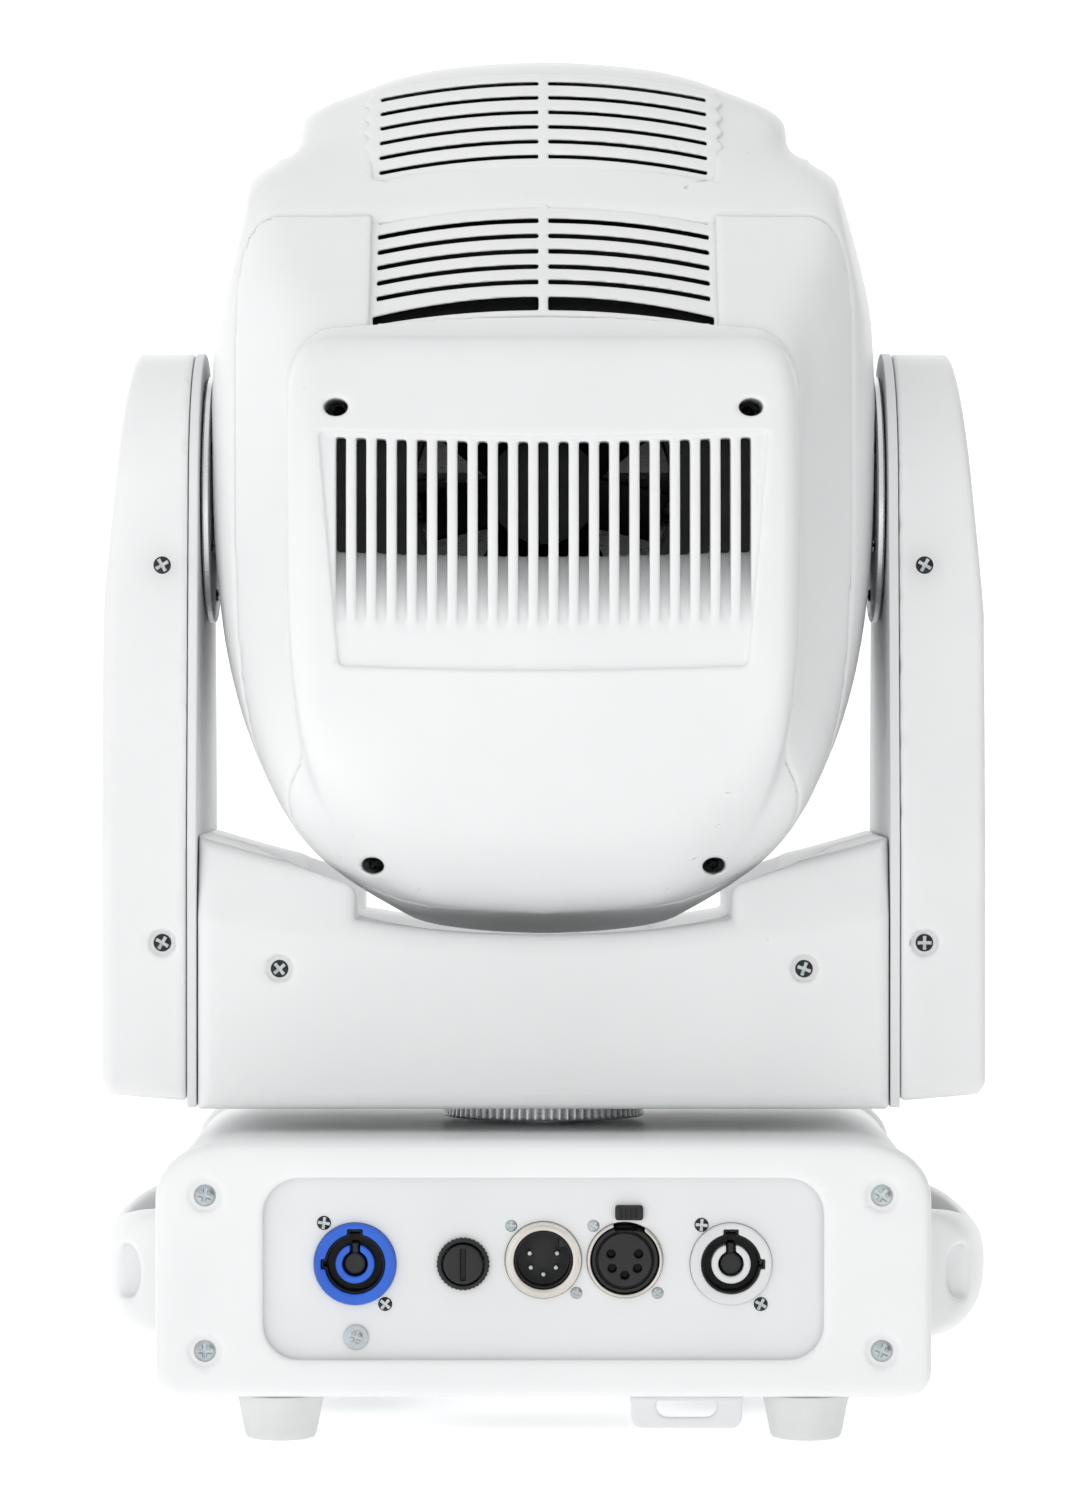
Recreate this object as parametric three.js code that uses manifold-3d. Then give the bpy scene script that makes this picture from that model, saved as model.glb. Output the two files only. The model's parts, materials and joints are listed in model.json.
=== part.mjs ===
// Moving head light: base with connectors, panning yoke, tilting head.
// Millimetres, +Z up. The origin is on the floor under the pan axis. The connector panel faces -Y,
// and at rest the light beam leaves along +Y.
import * as THREE from 'three';
import { mergeVertices } from 'three/addons/utils/BufferGeometryUtils.js';
import Module from 'manifold-3d';

const wasm = await Module();
wasm.setup();

// ---- driving dimensions ----
const GAP = 0.3;                 // clearance kept between touching pieces
const WALL = 3;                  // moulded wall thickness

const BASE_W = 237;
const BASE_D = 230;
const BASE_Z0 = 14;              // underside of the base, above the feet
const BASE_Z1 = 92;
const CAP_D = 20;                // depth of each end cap
const PANEL_W = 171;             // recessed connector panel opening
const PANEL_Z0 = 25.6;
const PANEL_Z1 = 81;
const CONNECTOR_Z = 54.7;        // axis height of the power connectors
const DATA_Z = 55.9;
const HANDLE_OUT = 26.5;         // reach of a side handle beyond the base
const HANDLE_HALF = 62;          // half of its length along Y
const HANDLE_Z = 46.4;
const HANDLE_HALF_H = 21.2;

const YOKE_Z0 = 98;
const YOKE_HALF_D = 60;
const YOKE_HALF_W = 109;         // where the yoke covers meet the arms
const ARM_OUT = 139.5;
const ARM_TOP_Z = 340;
const TILT_Z = 292;
const ARM_R = ARM_TOP_Z - TILT_Z;
const PAN_PULLEY_R = 33;
const TILT_PULLEY_R = 30;
const PULLEY_TEETH = 24;
const PINION_R = 6.6;            // the pan pinion makes five turns for each turn of the yoke
const PAN_PINION_X = -60;
const TILT_PINION_Z = 127;

const HEAD_R = 144.5;            // largest radius of the head about the tilt axis
const HEAD_CLEAR = 2.5;          // room between the turning head and the yoke
const BEZEL_R = 98;
const BEZEL_Y = 80;              // front plane of the head shell
const SHELL_SPLIT_Y = -58;       // seam between main and rear shell
const COVER_SPLIT_Y = -84;       // seam between rear shell and rear cover
const LENS_PITCH = 35;
const LENS_R = 15.5;
const GRILLE_PITCH = 6.2;
const GRILLE_BARS = 21;

// ---- materials ----
const paint = (color, roughness, metalness = 0) =>
  new THREE.MeshStandardMaterial({ color, roughness, metalness });
const WHITE = paint('#e6e8e9', 0.38);
const WHITE_METAL = paint('#dcdedf', 0.42, 0.2);
const STEEL = paint('#b9bcc0', 0.35, 0.9);
const ALUMINIUM = paint('#c6c8ca', 0.4, 0.9);
const BLACK = paint('#17181a', 0.5);
const BLUE = paint('#1f5fd6', 0.35);
const RUBBER = paint('#d7d9d9', 0.8);
const BELT = paint('#202020', 0.85);
const BOARD = paint('#1d5b35', 0.6);
const GLASS = paint('#20262c', 0.08);

// ---- solids ----
function solid(geometry) {
  const bare = geometry.clone();
  bare.deleteAttribute('normal');
  bare.deleteAttribute('uv');
  const merged = mergeVertices(bare, 1e-4);
  const index = merged.index.array;
  const triangles = [];
  for (let i = 0; i < index.length; i += 3) {
    const [a, b, c] = [index[i], index[i + 1], index[i + 2]];
    if (a !== b && b !== c && a !== c) triangles.push(a, b, c);
  }
  return new wasm.Manifold(new wasm.Mesh({
    numProp: 3,
    vertProperties: new Float32Array(merged.attributes.position.array),
    triVerts: new Uint32Array(triangles),
  }));
}

function geometryOf(manifold) {
  const mesh = manifold.getMesh();
  const geometry = new THREE.BufferGeometry();
  geometry.setAttribute('position', new THREE.BufferAttribute(new Float32Array(mesh.vertProperties), 3));
  geometry.setIndex(new THREE.BufferAttribute(new Uint32Array(mesh.triVerts), 1));
  geometry.computeVertexNormals();
  return geometry;
}

const joined = (solids) => solids.reduce((sum, next) => sum.add(next));
const cut = (body, tools) => tools.reduce((rest, tool) => rest.subtract(tool), body);

// An outline drawn in (x, z) and carried along Y from y0 to y1.
function alongY(shape, y0, y1, curveSegments = 4) {
  const geometry = new THREE.ExtrudeGeometry(shape, { depth: y1 - y0, bevelEnabled: false, curveSegments });
  return solid(geometry.rotateX(Math.PI / 2).translate(0, y1, 0));
}

// An outline drawn in (y, z) and carried along X from x0 to x1.
function alongX(shape, x0, x1, curveSegments = 4) {
  const geometry = new THREE.ExtrudeGeometry(shape, { depth: x1 - x0, bevelEnabled: false, curveSegments });
  const toX = new THREE.Matrix4().makeBasis(
    new THREE.Vector3(0, 1, 0), new THREE.Vector3(0, 0, 1), new THREE.Vector3(1, 0, 0));
  return solid(geometry.applyMatrix4(toX).translate(x0, 0, 0));
}

// An outline drawn in (x, y) and carried up from z0 to z1.
function alongZ(shape, z0, z1, curveSegments = 4) {
  const geometry = new THREE.ExtrudeGeometry(shape, { depth: z1 - z0, bevelEnabled: false, curveSegments });
  return solid(geometry.translate(0, 0, z0));
}

function box(x0, x1, y0, y1, z0, z1) {
  const geometry = new THREE.BoxGeometry(x1 - x0, y1 - y0, z1 - z0);
  return solid(geometry.translate((x0 + x1) / 2, (y0 + y1) / 2, (z0 + z1) / 2));
}

// A closed profile of [radius, height] points turned about X, Y or Z.
const AXIS_TURN = {
  X: (g) => g.rotateZ(-Math.PI / 2),
  Y: (g) => g,
  Z: (g) => g.rotateX(Math.PI / 2),
};
function turned(axis, profile, segments = 20) {
  const points = [...profile, profile[0]].map(([r, h]) => new THREE.Vector2(r, h));
  return solid(AXIS_TURN[axis](new THREE.LatheGeometry(points, segments)));
}
const rod = (axis, r, h0, h1, segments = 16) =>
  turned(axis, [[0, h0], [r, h0], [r, h1], [0, h1]], segments);
const ring = (axis, inner, outer, h0, h1, segments = 20) =>
  turned(axis, [[inner, h0], [outer, h0], [outer, h1], [inner, h1]], segments);

// ---- outlines ----
function roundedRect(x0, x1, y0, y1, r) {
  const shape = new THREE.Shape();
  shape.moveTo(x0 + r, y0);
  shape.lineTo(x1 - r, y0);
  shape.absarc(x1 - r, y0 + r, r, -Math.PI / 2, 0, false);
  shape.lineTo(x1, y1 - r);
  shape.absarc(x1 - r, y1 - r, r, 0, Math.PI / 2, false);
  shape.lineTo(x0 + r, y1);
  shape.absarc(x0 + r, y1 - r, r, Math.PI / 2, Math.PI, false);
  shape.lineTo(x0, y0 + r);
  shape.absarc(x0 + r, y0 + r, r, Math.PI, Math.PI * 1.5, false);
  return shape;
}

const polygon = (points) => new THREE.Shape(points.map(([x, y]) => new THREE.Vector2(x, y)));

// A left-right symmetric polygon from the points of its right half, listed from bottom to top.
function symmetric(rightHalf) {
  const left = rightHalf.filter(([x]) => x > 0).map(([x, y]) => [-x, y]).reverse();
  return polygon([...rightHalf, ...left]);
}

// A smooth version of a list of points, as a denser list.
function smooth(points, count) {
  const curve = new THREE.SplineCurve(points.map(([x, y]) => new THREE.Vector2(x, y)));
  return curve.getPoints(count).map((p) => [p.x, p.y]);
}

// The outline of a belt round two wheels, or of a slot with two different ends.
function beltShape(centreA, rA, centreB, rB) {
  const [ax, ay] = centreA;
  const [bx, by] = centreB;
  const along = Math.atan2(by - ay, bx - ax);
  const spread = Math.acos((rA - rB) / Math.hypot(bx - ax, by - ay));
  const shape = new THREE.Shape();
  shape.absarc(ax, ay, rA, along + spread, along - spread + 2 * Math.PI, false);
  shape.absarc(bx, by, rB, along - spread, along + spread, false);
  return shape;
}

// ---- scene ----
const light = new THREE.Group();
const head = new THREE.Group();
head.position.z = TILT_Z;
light.add(head);

function put(name, body, material, group = light) {
  const mesh = new THREE.Mesh(geometryOf(body), material);
  mesh.name = name;
  group.add(mesh);
}

// ---- base ----
// Rear outline of the base, drawn in by the given amount: small radii below, long soft shoulders above.
function baseShape(inset) {
  const w = BASE_W / 2 - inset;
  const z0 = BASE_Z0 + inset;
  const z1 = BASE_Z1 - inset;
  const r = 8 - inset / 2;
  const shape = new THREE.Shape();
  shape.moveTo(-w + r, z0);
  shape.lineTo(w - r, z0);
  shape.absarc(w - r, z0 + r, r, -Math.PI / 2, 0, false);
  shape.lineTo(w, z1 - 17);
  shape.quadraticCurveTo(w - 1, z1 - 1, w - 25, z1);
  shape.lineTo(-w + 25, z1);
  shape.quadraticCurveTo(-w + 1, z1 - 1, -w, z1 - 17);
  shape.lineTo(-w, z0 + r);
  shape.absarc(-w + r, z0 + r, r, Math.PI, Math.PI * 1.5, false);
  return shape;
}

const HALF_D = BASE_D / 2;
const CAP_Y = HALF_D - CAP_D;        // inner edge of the end caps
const HOUSING_Y = CAP_Y - GAP;
const STEP = 1.2;                    // the housing stands this much inside the caps
const PLATE_TOP = BASE_Z0 + 2.5;
const SHAFT_R = 15;

function buildHousing() {
  const outer = alongY(baseShape(STEP), -HOUSING_Y, HOUSING_Y);
  const inner = alongY(baseShape(STEP + WALL), -HALF_D, HALF_D);
  const openBottom = box(-105, 105, -HALF_D, HALF_D, 0, BASE_Z0 + 8);
  const shaftHole = rod('Z', SHAFT_R + 0.5, BASE_Z1 - 10, BASE_Z1 + 5, 20);
  put('base_housing', cut(outer, [inner, openBottom, shaftHole]), WHITE);
  const outline = roundedRect(-104.5, 104.5, -HOUSING_Y, HOUSING_Y, 3);
  const plate = alongZ(outline, BASE_Z0 + STEP, PLATE_TOP + STEP, 3);
  put('base_bottom_plate', plate, WHITE_METAL);
}

// An end cap is a thick picture frame round its opening, hollow towards the middle of the base.
function buildEndCap(name, side, opening, extraCuts) {
  const y0 = side < 0 ? -HALF_D : CAP_Y;
  const y1 = side < 0 ? -CAP_Y : HALF_D;
  const outer = alongY(baseShape(0), y0, y1);
  const hollow = side < 0
    ? alongY(baseShape(WALL), -HALF_D + WALL + 0.6, 0)
    : alongY(baseShape(WALL), 0, HALF_D - WALL - 0.6);
  const window = alongY(opening, side < 0 ? -HALF_D - 5 : 0, side < 0 ? 0 : HALF_D + 5);
  put(name, cut(outer, [hollow, window, ...extraCuts]), WHITE);
}

const FACE_Y = -HALF_D + WALL + 0.9;       // outer face of the connector panel
const PANEL_T = 2;

const BARREL_R = 11.6;
const POWER_R = 12.5;
const connectors = {
  power_inlet: { x: -57.5, z: CONNECTOR_Z, r: POWER_R },
  data_inlet: { x: 0, z: DATA_Z, r: BARREL_R },
  data_outlet: { x: 24.9, z: DATA_Z, r: BARREL_R - 0.3 },
  power_outlet: { x: 57.3, z: CONNECTOR_Z, r: POWER_R },
};
const FUSE = { x: -24.5, z: CONNECTOR_Z, r: 8.2 };
const TAB = { x: 26.2, z: 70.4, w: 8.4, h: 4.4 };

function buildPanel() {
  const plate = alongY(roundedRect(-93, 93, 22, 84, 4), FACE_Y, FACE_Y + PANEL_T, 4);
  const holes = Object.values(connectors).map(({ x, z, r }) =>
    rod('Y', r + GAP, FACE_Y - 2, FACE_Y + 5, 18).translate([x, 0, z]));
  holes.push(rod('Y', FUSE.r - 1 + GAP, FACE_Y - 2, FACE_Y + 5, 14).translate([FUSE.x, 0, FUSE.z]));
  const tabHole = box(TAB.x - TAB.w / 2 - GAP, TAB.x + TAB.w / 2 + GAP, FACE_Y - 2, FACE_Y + 5,
    TAB.z - TAB.h / 2 - GAP, TAB.z + TAB.h / 2 + GAP);
  put('connector_panel', cut(plate, [...holes, tabHole]), WHITE_METAL);
}

// Twist-lock power socket: a round cup with a central post, and a square body behind the panel.
const SOCKET_DEPTH = 11;
const POST_R = 4.8;
function buildPowerSocket(name, material) {
  const { x, z, r } = connectors[name];
  const lip = FACE_Y - 2;
  const cup = turned('Y', [[r - 2, lip], [r, lip], [r, FACE_Y + 18], [0, FACE_Y + 18],
    [0, lip + 0.8], [POST_R, lip + 0.8], [POST_R, lip + SOCKET_DEPTH], [r - 2, lip + SOCKET_DEPTH]], 18);
  const flange = alongY(roundedRect(-13, 13, -15.5, 15.5, 3), FACE_Y + PANEL_T + GAP, FACE_Y + 6, 1)
    .subtract(rod('Y', r - 1, FACE_Y, FACE_Y + 9, 18));
  put(name, joined([cup, flange]).translate([x, 0, z]), material);
}

function buildDataSockets() {
  const inlet = connectors.data_inlet;
  const lip = FACE_Y - 1.6;
  const back = FACE_Y + 18;
  const inletCup = turned('Y', [[inlet.r - 1.8, lip], [inlet.r, lip], [inlet.r, back], [0, back],
    [0, lip + 10], [inlet.r - 1.8, lip + 10]], 18);
  const flange = alongY(roundedRect(-12, 12, -15.5, 15.5, 3), FACE_Y + PANEL_T + GAP, FACE_Y + 6, 1)
    .subtract(rod('Y', BARREL_R - 1, FACE_Y, FACE_Y + 9, 18));
  put('data_inlet', joined([inletCup, flange]).translate([inlet.x, 0, inlet.z]), STEEL);
  const outlet = connectors.data_outlet;
  const outletBody = turned('Y', [[0, lip + 2.2], [outlet.r - 1.2, lip + 2.2], [outlet.r - 1.2, lip],
    [outlet.r, lip], [outlet.r, back], [0, back]], 18);
  const tabRoom = box(-5, 7, FACE_Y - 5, FACE_Y + 9, 11.9, 20);
  put('data_outlet', joined([outletBody, flange]).subtract(tabRoom).translate([outlet.x, 0, outlet.z]), BLACK);
  const tab = box(TAB.x - TAB.w / 2, TAB.x + TAB.w / 2, FACE_Y - 2.2, FACE_Y + 4,
    TAB.z - TAB.h / 2, TAB.z + TAB.h / 2);
  const tabFoot = box(TAB.x - TAB.w / 2, TAB.x + TAB.w / 2, FACE_Y + 3.6, FACE_Y + 5,
    TAB.z - TAB.h / 2 + 0.1, TAB.z + TAB.h / 2 + 2);
  put('data_release_tab', joined([tab, tabFoot]), BLACK);
}

function buildFuse() {
  const { r } = FUSE;
  const holder = turned('Y', [[r - 1.8, FACE_Y - 1.6], [r, FACE_Y - 1.6], [r, FACE_Y - GAP],
    [r - 1, FACE_Y - GAP], [r - 1, FACE_Y + 24], [0, FACE_Y + 24], [0, FACE_Y + 22], [r - 1.8, FACE_Y + 22]], 20);
  put('fuse_holder', holder.translate([FUSE.x, 0, FUSE.z]), BLACK);
  const cap = rod('Y', r - 1.8 - GAP, FACE_Y - 3, FACE_Y + 12, 20);
  const slot = box(-5, 5, FACE_Y - 5, FACE_Y - 1.4, -0.8, 0.8);
  put('fuse_cap', cap.subtract(slot).translate([FUSE.x, 0, FUSE.z]), BLACK);
}

// Front panel: display window with four menu keys to its right.
const DISPLAY = { x: -22, z: 55, w: 74, h: 34 };
const KEY_R = 5;
const KEYS = [[42, 64], [58, 64], [42, 46], [58, 46]];
function buildFront() {
  const keyHoles = KEYS.map(([x, z]) => rod('Y', KEY_R + GAP, 0, HALF_D + 5, 14).translate([x, 0, z]));
  const opening = roundedRect(DISPLAY.x - DISPLAY.w / 2, DISPLAY.x + DISPLAY.w / 2,
    DISPLAY.z - DISPLAY.h / 2, DISPLAY.z + DISPLAY.h / 2, 3);
  buildEndCap('front_end_cap', 1, opening, keyHoles);
  const face = HALF_D - 1;
  const glass = alongY(roundedRect(DISPLAY.x - DISPLAY.w / 2 + GAP, DISPLAY.x + DISPLAY.w / 2 - GAP,
    DISPLAY.z - DISPLAY.h / 2 + GAP, DISPLAY.z + DISPLAY.h / 2 - GAP, 3), face - 3, face, 4);
  put('display_window', glass, GLASS);
  KEYS.forEach(([x, z], i) => {
    const key = turned('Y', [[0, face - 11], [KEY_R + 1.2, face - 11], [KEY_R + 1.2, face - 9.5],
      [KEY_R, face - 9.5], [KEY_R, face + 0.4], [KEY_R - 0.6, face + 1], [0, face + 1]], 14);
    put(`menu_key_${i + 1}`, key.translate([x, 0, z]), BLACK);
  });
  put('control_board', box(-66, 70, HALF_D - 16.6, HALF_D - 15, 34, 76), BOARD);
}

function buildFeet() {
  const FOOT = { x: 80.8, y: 97, top: 13.6, bottom: 11 };
  let count = 1;
  for (const y of [-FOOT.y, FOOT.y]) {
    for (const x of [-FOOT.x, FOOT.x]) {
      const foot = turned('Z', [[0, 0], [FOOT.bottom - 1, 0], [FOOT.bottom, 1], [FOOT.top, BASE_Z0 - GAP],
        [0, BASE_Z0 - GAP]], 18);
      put(`foot_${count}`, foot.translate([x, y, 0]), RUBBER);
      count += 1;
    }
  }
}

// Seats for the quarter-turn brackets of a lighting clamp, and the loop for a safety wire.
function buildUnderside() {
  const top = BASE_Z0 + STEP - GAP;
  for (const [name, x] of [['clamp_seat_left', -60], ['clamp_seat_right', 60]]) {
    const seat = alongZ(roundedRect(x - 17, x + 17, -33, 33, 6), top - 4, top, 5);
    put(name, seat, STEEL);
  }
  const LOOP = { x0: 26.9, x1: 60.9, rim: 7.7, z0: 3.8, y: -107 };
  const strap = alongY(roundedRect(LOOP.x0, LOOP.x1, LOOP.z0, 17.5, 3.4), LOOP.y, LOOP.y + 3, 4);
  const eyeOutline = roundedRect(LOOP.x0 + LOOP.rim, LOOP.x1 - LOOP.rim, LOOP.z0 + 3.4, 22, 2.4);
  const eye = alongY(eyeOutline, LOOP.y - 1, LOOP.y + 4, 4);
  const above = box(-100, 100, -HALF_D, HALF_D, BASE_Z0 - GAP, 30);
  const foot = box(LOOP.x0, LOOP.x1, LOOP.y + 2, -CAP_Y - 1, BASE_Z0 - 1.5, BASE_Z0 - GAP);
  put('safety_loop', joined([cut(strap, [eye, above]), foot]), WHITE_METAL);
}

function buildHandles() {
  for (const [name, side] of [['handle_left', -1], ['handle_right', 1]]) {
    const ellipse = (rx, ry, z0, z1) => {
      const shape = new THREE.Shape();
      shape.absellipse(0, 0, rx, ry, 0, 2 * Math.PI, false, 0);
      return alongZ(shape, z0, z1, 18);
    };
    const z0 = HANDLE_Z - HANDLE_HALF_H;
    const z1 = HANDLE_Z + HANDLE_HALF_H;
    const arch = ellipse(HANDLE_OUT, HANDLE_HALF, z0, z1).subtract(ellipse(17.5, 50, z0 - 1, z1 + 1));
    const sectionShape = new THREE.Shape();
    sectionShape.absellipse(0, HANDLE_Z, HANDLE_OUT, HANDLE_HALF_H, 0, 2 * Math.PI, false, 0);
    const section = alongY(sectionShape, -HANDLE_HALF - 1, HANDLE_HALF + 1, 14);
    const outward = side > 0 ? box(0, 40, -70, 70, 0, 90) : box(-40, 0, -70, 70, 0, 90);
    const backPlate = roundedRect(-HANDLE_HALF, HANDLE_HALF, z0, z1, 12);
    const pads = alongX(backPlate, side > 0 ? 0 : -2.5, side > 0 ? 2.5 : 0, 6);
    const body = joined([arch.intersect(section).intersect(outward), pads]);
    put(name, body.translate([side * (BASE_W / 2 - STEP + GAP), 0, 0]), WHITE);
  }
}

function buildBaseInside() {
  put('power_supply', box(-90, 90, -62, 56, 22, 56), STEEL);
  const shaft = turned('Z', [[SHAFT_R - 3, 66], [SHAFT_R, 66], [SHAFT_R, 120], [SHAFT_R - 3, 120]], 20);
  const flange = ring('Z', SHAFT_R - 1, 28, 80, BASE_Z1 - STEP - WALL - GAP, 20);
  put('pan_shaft', joined([shaft, flange]), STEEL);
}

// The fixed pulley of the pan drive, whose fine teeth show between base and yoke.
function toothed(radius, teeth, depth) {
  const shape = new THREE.Shape();
  for (let i = 0; i < teeth; i += 1) {
    const at = (part) => ((i + part) / teeth) * 2 * Math.PI;
    for (const [part, r] of [[0, radius - depth], [0.25, radius], [0.6, radius], [0.85, radius - depth]]) {
      const x = r * Math.cos(at(part));
      const y = r * Math.sin(at(part));
      if (i === 0 && part === 0) shape.moveTo(x, y);
      else shape.lineTo(x, y);
    }
  }
  return shape;
}

function buildPanDrive() {
  const z0 = BASE_Z1 + GAP;
  const pulley = alongZ(toothed(PAN_PULLEY_R, PULLEY_TEETH, 0.9), z0, 112);
  put('pan_pulley', pulley.subtract(rod('Z', SHAFT_R + GAP, 80, 120, 20)), ALUMINIUM);
  const centreA = [0, 0];
  const centreB = [PAN_PINION_X, 0];
  const outer = alongZ(beltShape(centreA, PAN_PULLEY_R + 2, centreB, PINION_R + 2), 103, 110, 8);
  const inner = alongZ(beltShape(centreA, PAN_PULLEY_R + GAP, centreB, PINION_R + GAP), 100, 115, 8);
  put('pan_belt', outer.subtract(inner), BELT);
  const pinion = ring('Z', 2.5 + GAP, PINION_R, 102.5, 111, 16);
  put('pan_pinion', pinion.translate([PAN_PINION_X, 0, 0]), ALUMINIUM);
  const motorBody = alongZ(roundedRect(-21, 21, -21, 21, 4), 117.8, 144, 3);
  const motorShaft = rod('Z', 2.5, 103, 118, 10);
  put('pan_motor', joined([motorBody, motorShaft]).translate([PAN_PINION_X, 0, 0]), BLACK);
  put('pan_bearing', ring('Z', SHAFT_R + GAP, 22, 114, 121, 20), STEEL);
}

// ---- yoke ----
// Largest radius of the head about the tilt axis, as [x, radius] from the middle outwards.
const HEAD_SWEEP = [[0, HEAD_R], [36, 142.5], [48, 138], [59, 132.5], [78, 124.5], [93, 109], [105.5, 66]];

function sweepSolid(extra, segments) {
  const right = HEAD_SWEEP.map(([x, r]) => [r + extra, x]);
  const left = HEAD_SWEEP.slice(1).map(([x, r]) => [r + extra, -x]).reverse();
  const rim = HEAD_SWEEP[HEAD_SWEEP.length - 1][0];
  return turned('X', [[0, -rim], ...left, ...right, [0, rim]], segments);
}

// Rear outline of the yoke between the arms: a trough with a step up to a shoulder on each side.
function yokeShape(inset) {
  const w = YOKE_HALF_W - inset;
  const stepX = 59 + inset;
  const half = smooth([[stepX, 160 - inset], [70, 173.6 - inset], [88, 178 - inset], [w, 184 - inset]], 6);
  const floor = smooth([[0, 153 - inset], [22, 153.6 - inset], [42, 155.4 - inset], [stepX, 158 - inset]], 5);
  const shape = new THREE.Shape();
  shape.moveTo(-w, YOKE_Z0 + inset);
  shape.lineTo(w, YOKE_Z0 + inset);
  [[w, 184 - inset], ...half.slice(1, -1).reverse()].forEach(([x, z]) => shape.lineTo(x, z));
  shape.lineTo(stepX + 3, 172.6 - inset);
  shape.quadraticCurveTo(stepX, 172.6 - inset, stepX, 169 - inset);
  [...floor].reverse().forEach(([x, z]) => shape.lineTo(x, z));
  floor.slice(1).forEach(([x, z]) => shape.lineTo(-x, z));
  shape.lineTo(-stepX, 169 - inset);
  shape.quadraticCurveTo(-stepX, 172.6 - inset, -stepX - 3, 172.6 - inset);
  half.slice(1, -1).forEach(([x, z]) => shape.lineTo(-x, z));
  shape.lineTo(-w, 184 - inset);
  return shape;
}

// Side outline of the yoke covers: upright walls that lean in above the crease.
function yokeSide(inset) {
  const y = YOKE_HALF_D - inset;
  return symmetric([[0, YOKE_Z0 + inset], [y - 3, YOKE_Z0 + inset], [y, YOKE_Z0 + inset + 3], [y, 147],
    [y - 3, 158], [y - 9, 190], [0, 190]]);
}

function buildYokeCovers() {
  const outline = (inset, extra) => alongY(yokeShape(inset), -70, 70, 4)
    .intersect(alongX(yokeSide(inset), -120, 120))
    .subtract(sweepSolid(HEAD_CLEAR + extra, 32).translate([0, 0, TILT_Z]));
  const outer = outline(0, 0);
  const hollow = outline(2.5, 2.5).add(box(-115, 115, -56, 56, YOKE_Z0 + 2.5, 132));
  const hole = rod('Z', PAN_PULLEY_R + 2.5, 90, 110, 28);
  const shell = cut(outer, [hollow, hole]);
  put('yoke_cover_rear', shell.intersect(box(-200, 200, -100, -0.15, 0, 300)), WHITE);
  put('yoke_cover_front', shell.intersect(box(-200, 200, 0.15, 100, 0, 300)), WHITE);
}

function buildYokeChassis() {
  const plate = alongZ(roundedRect(-108, 108, -50, 50, 4), 114.5, 117.5, 3);
  const pinionHole = rod('Z', PINION_R + 3, 100, 130, 14).translate([PAN_PINION_X, 0, 0]);
  const bearingHole = rod('Z', 22 + GAP, 100, 130, 20);
  const flanges = [-1, 1].map((side) => {
    const x = side * 106.5;
    return box(x - 1.5, x + 1.5, -40, -26, 116, 131.5).add(box(x - 1.5, x + 1.5, 26, 40, 116, 131.5));
  });
  put('yoke_chassis', joined([cut(plate, [pinionHole, bearingHole]), ...flanges]), STEEL);
}

// Side outline of an arm: straight edges tangent to a round top about the tilt axis.
function armShape(inset) {
  const y = YOKE_HALF_D - 2 - inset;
  const r = ARM_R - inset;
  const z0 = YOKE_Z0 + inset;
  const shape = new THREE.Shape();
  shape.moveTo(-y, z0);
  shape.lineTo(y, z0);
  shape.lineTo(y, 180);
  shape.absarc(0, TILT_Z, r, 0.05, Math.PI - 0.05, false);
  shape.lineTo(-y, 180);
  return shape;
}

// Rear outline of an arm's outer half: upright, then leaning in towards the top, with a rising bottom edge.
function armRear(x0, inset) {
  const out = ARM_OUT - inset;
  return polygon([[x0, YOKE_Z0 + inset], [out - 2.5, YOKE_Z0 + 4.5 + inset], [out, YOKE_Z0 + 8 + inset],
    [out, 262], [out - 7.4, 334 - inset], [out - 12.4, ARM_TOP_Z - inset], [x0, ARM_TOP_Z - inset]]);
}

function buildArms() {
  const plateIn = YOKE_HALF_W + GAP;
  const plateOut = plateIn + 3;
  const coverIn = plateOut + GAP;
  for (const [side, word] of [[-1, 'left'], [1, 'right']]) {
    const facing = (body) => (side > 0 ? body : body.mirror([1, 0, 0]));
    const plate = alongX(armShape(0), plateIn, plateOut, 14);
    const bearingHole = rod('X', 18 + GAP, 100, 120, 20).translate([0, 0, TILT_Z]);
    const motorHole = rod('X', 3, 100, 120, 12).translate([0, 0, TILT_PINION_Z]);
    const holes = side > 0 ? [bearingHole, motorHole] : [bearingHole];
    put(`arm_plate_${word}`, facing(cut(plate, holes)), WHITE_METAL);
    const outer = alongX(armShape(0), coverIn, 145, 14).intersect(alongY(armRear(coverIn - 5, 0), -80, 80));
    const inner = alongX(armShape(2.5), coverIn - 5, 145, 14)
      .intersect(alongY(armRear(coverIn - 6, 2.5), -80, 80));
    put(`arm_cover_${word}`, facing(outer.subtract(inner)), WHITE);
    const bearing = ring('X', 12 + GAP, 18, plateIn, plateOut + 4, 20).translate([0, 0, TILT_Z]);
    put(`tilt_bearing_${word}`, facing(bearing), STEEL);
    const shaft = turned('X', [[9, 90], [12, 90], [12, 128], [9, 128]], 20);
    const collar = ring('X', 10, 40, 106.2, 108.6, 28);
    const shaftName = `tilt_shaft_${word}`;
    put(shaftName, facing(joined([shaft, collar])), ALUMINIUM, head);
  }
}

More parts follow.
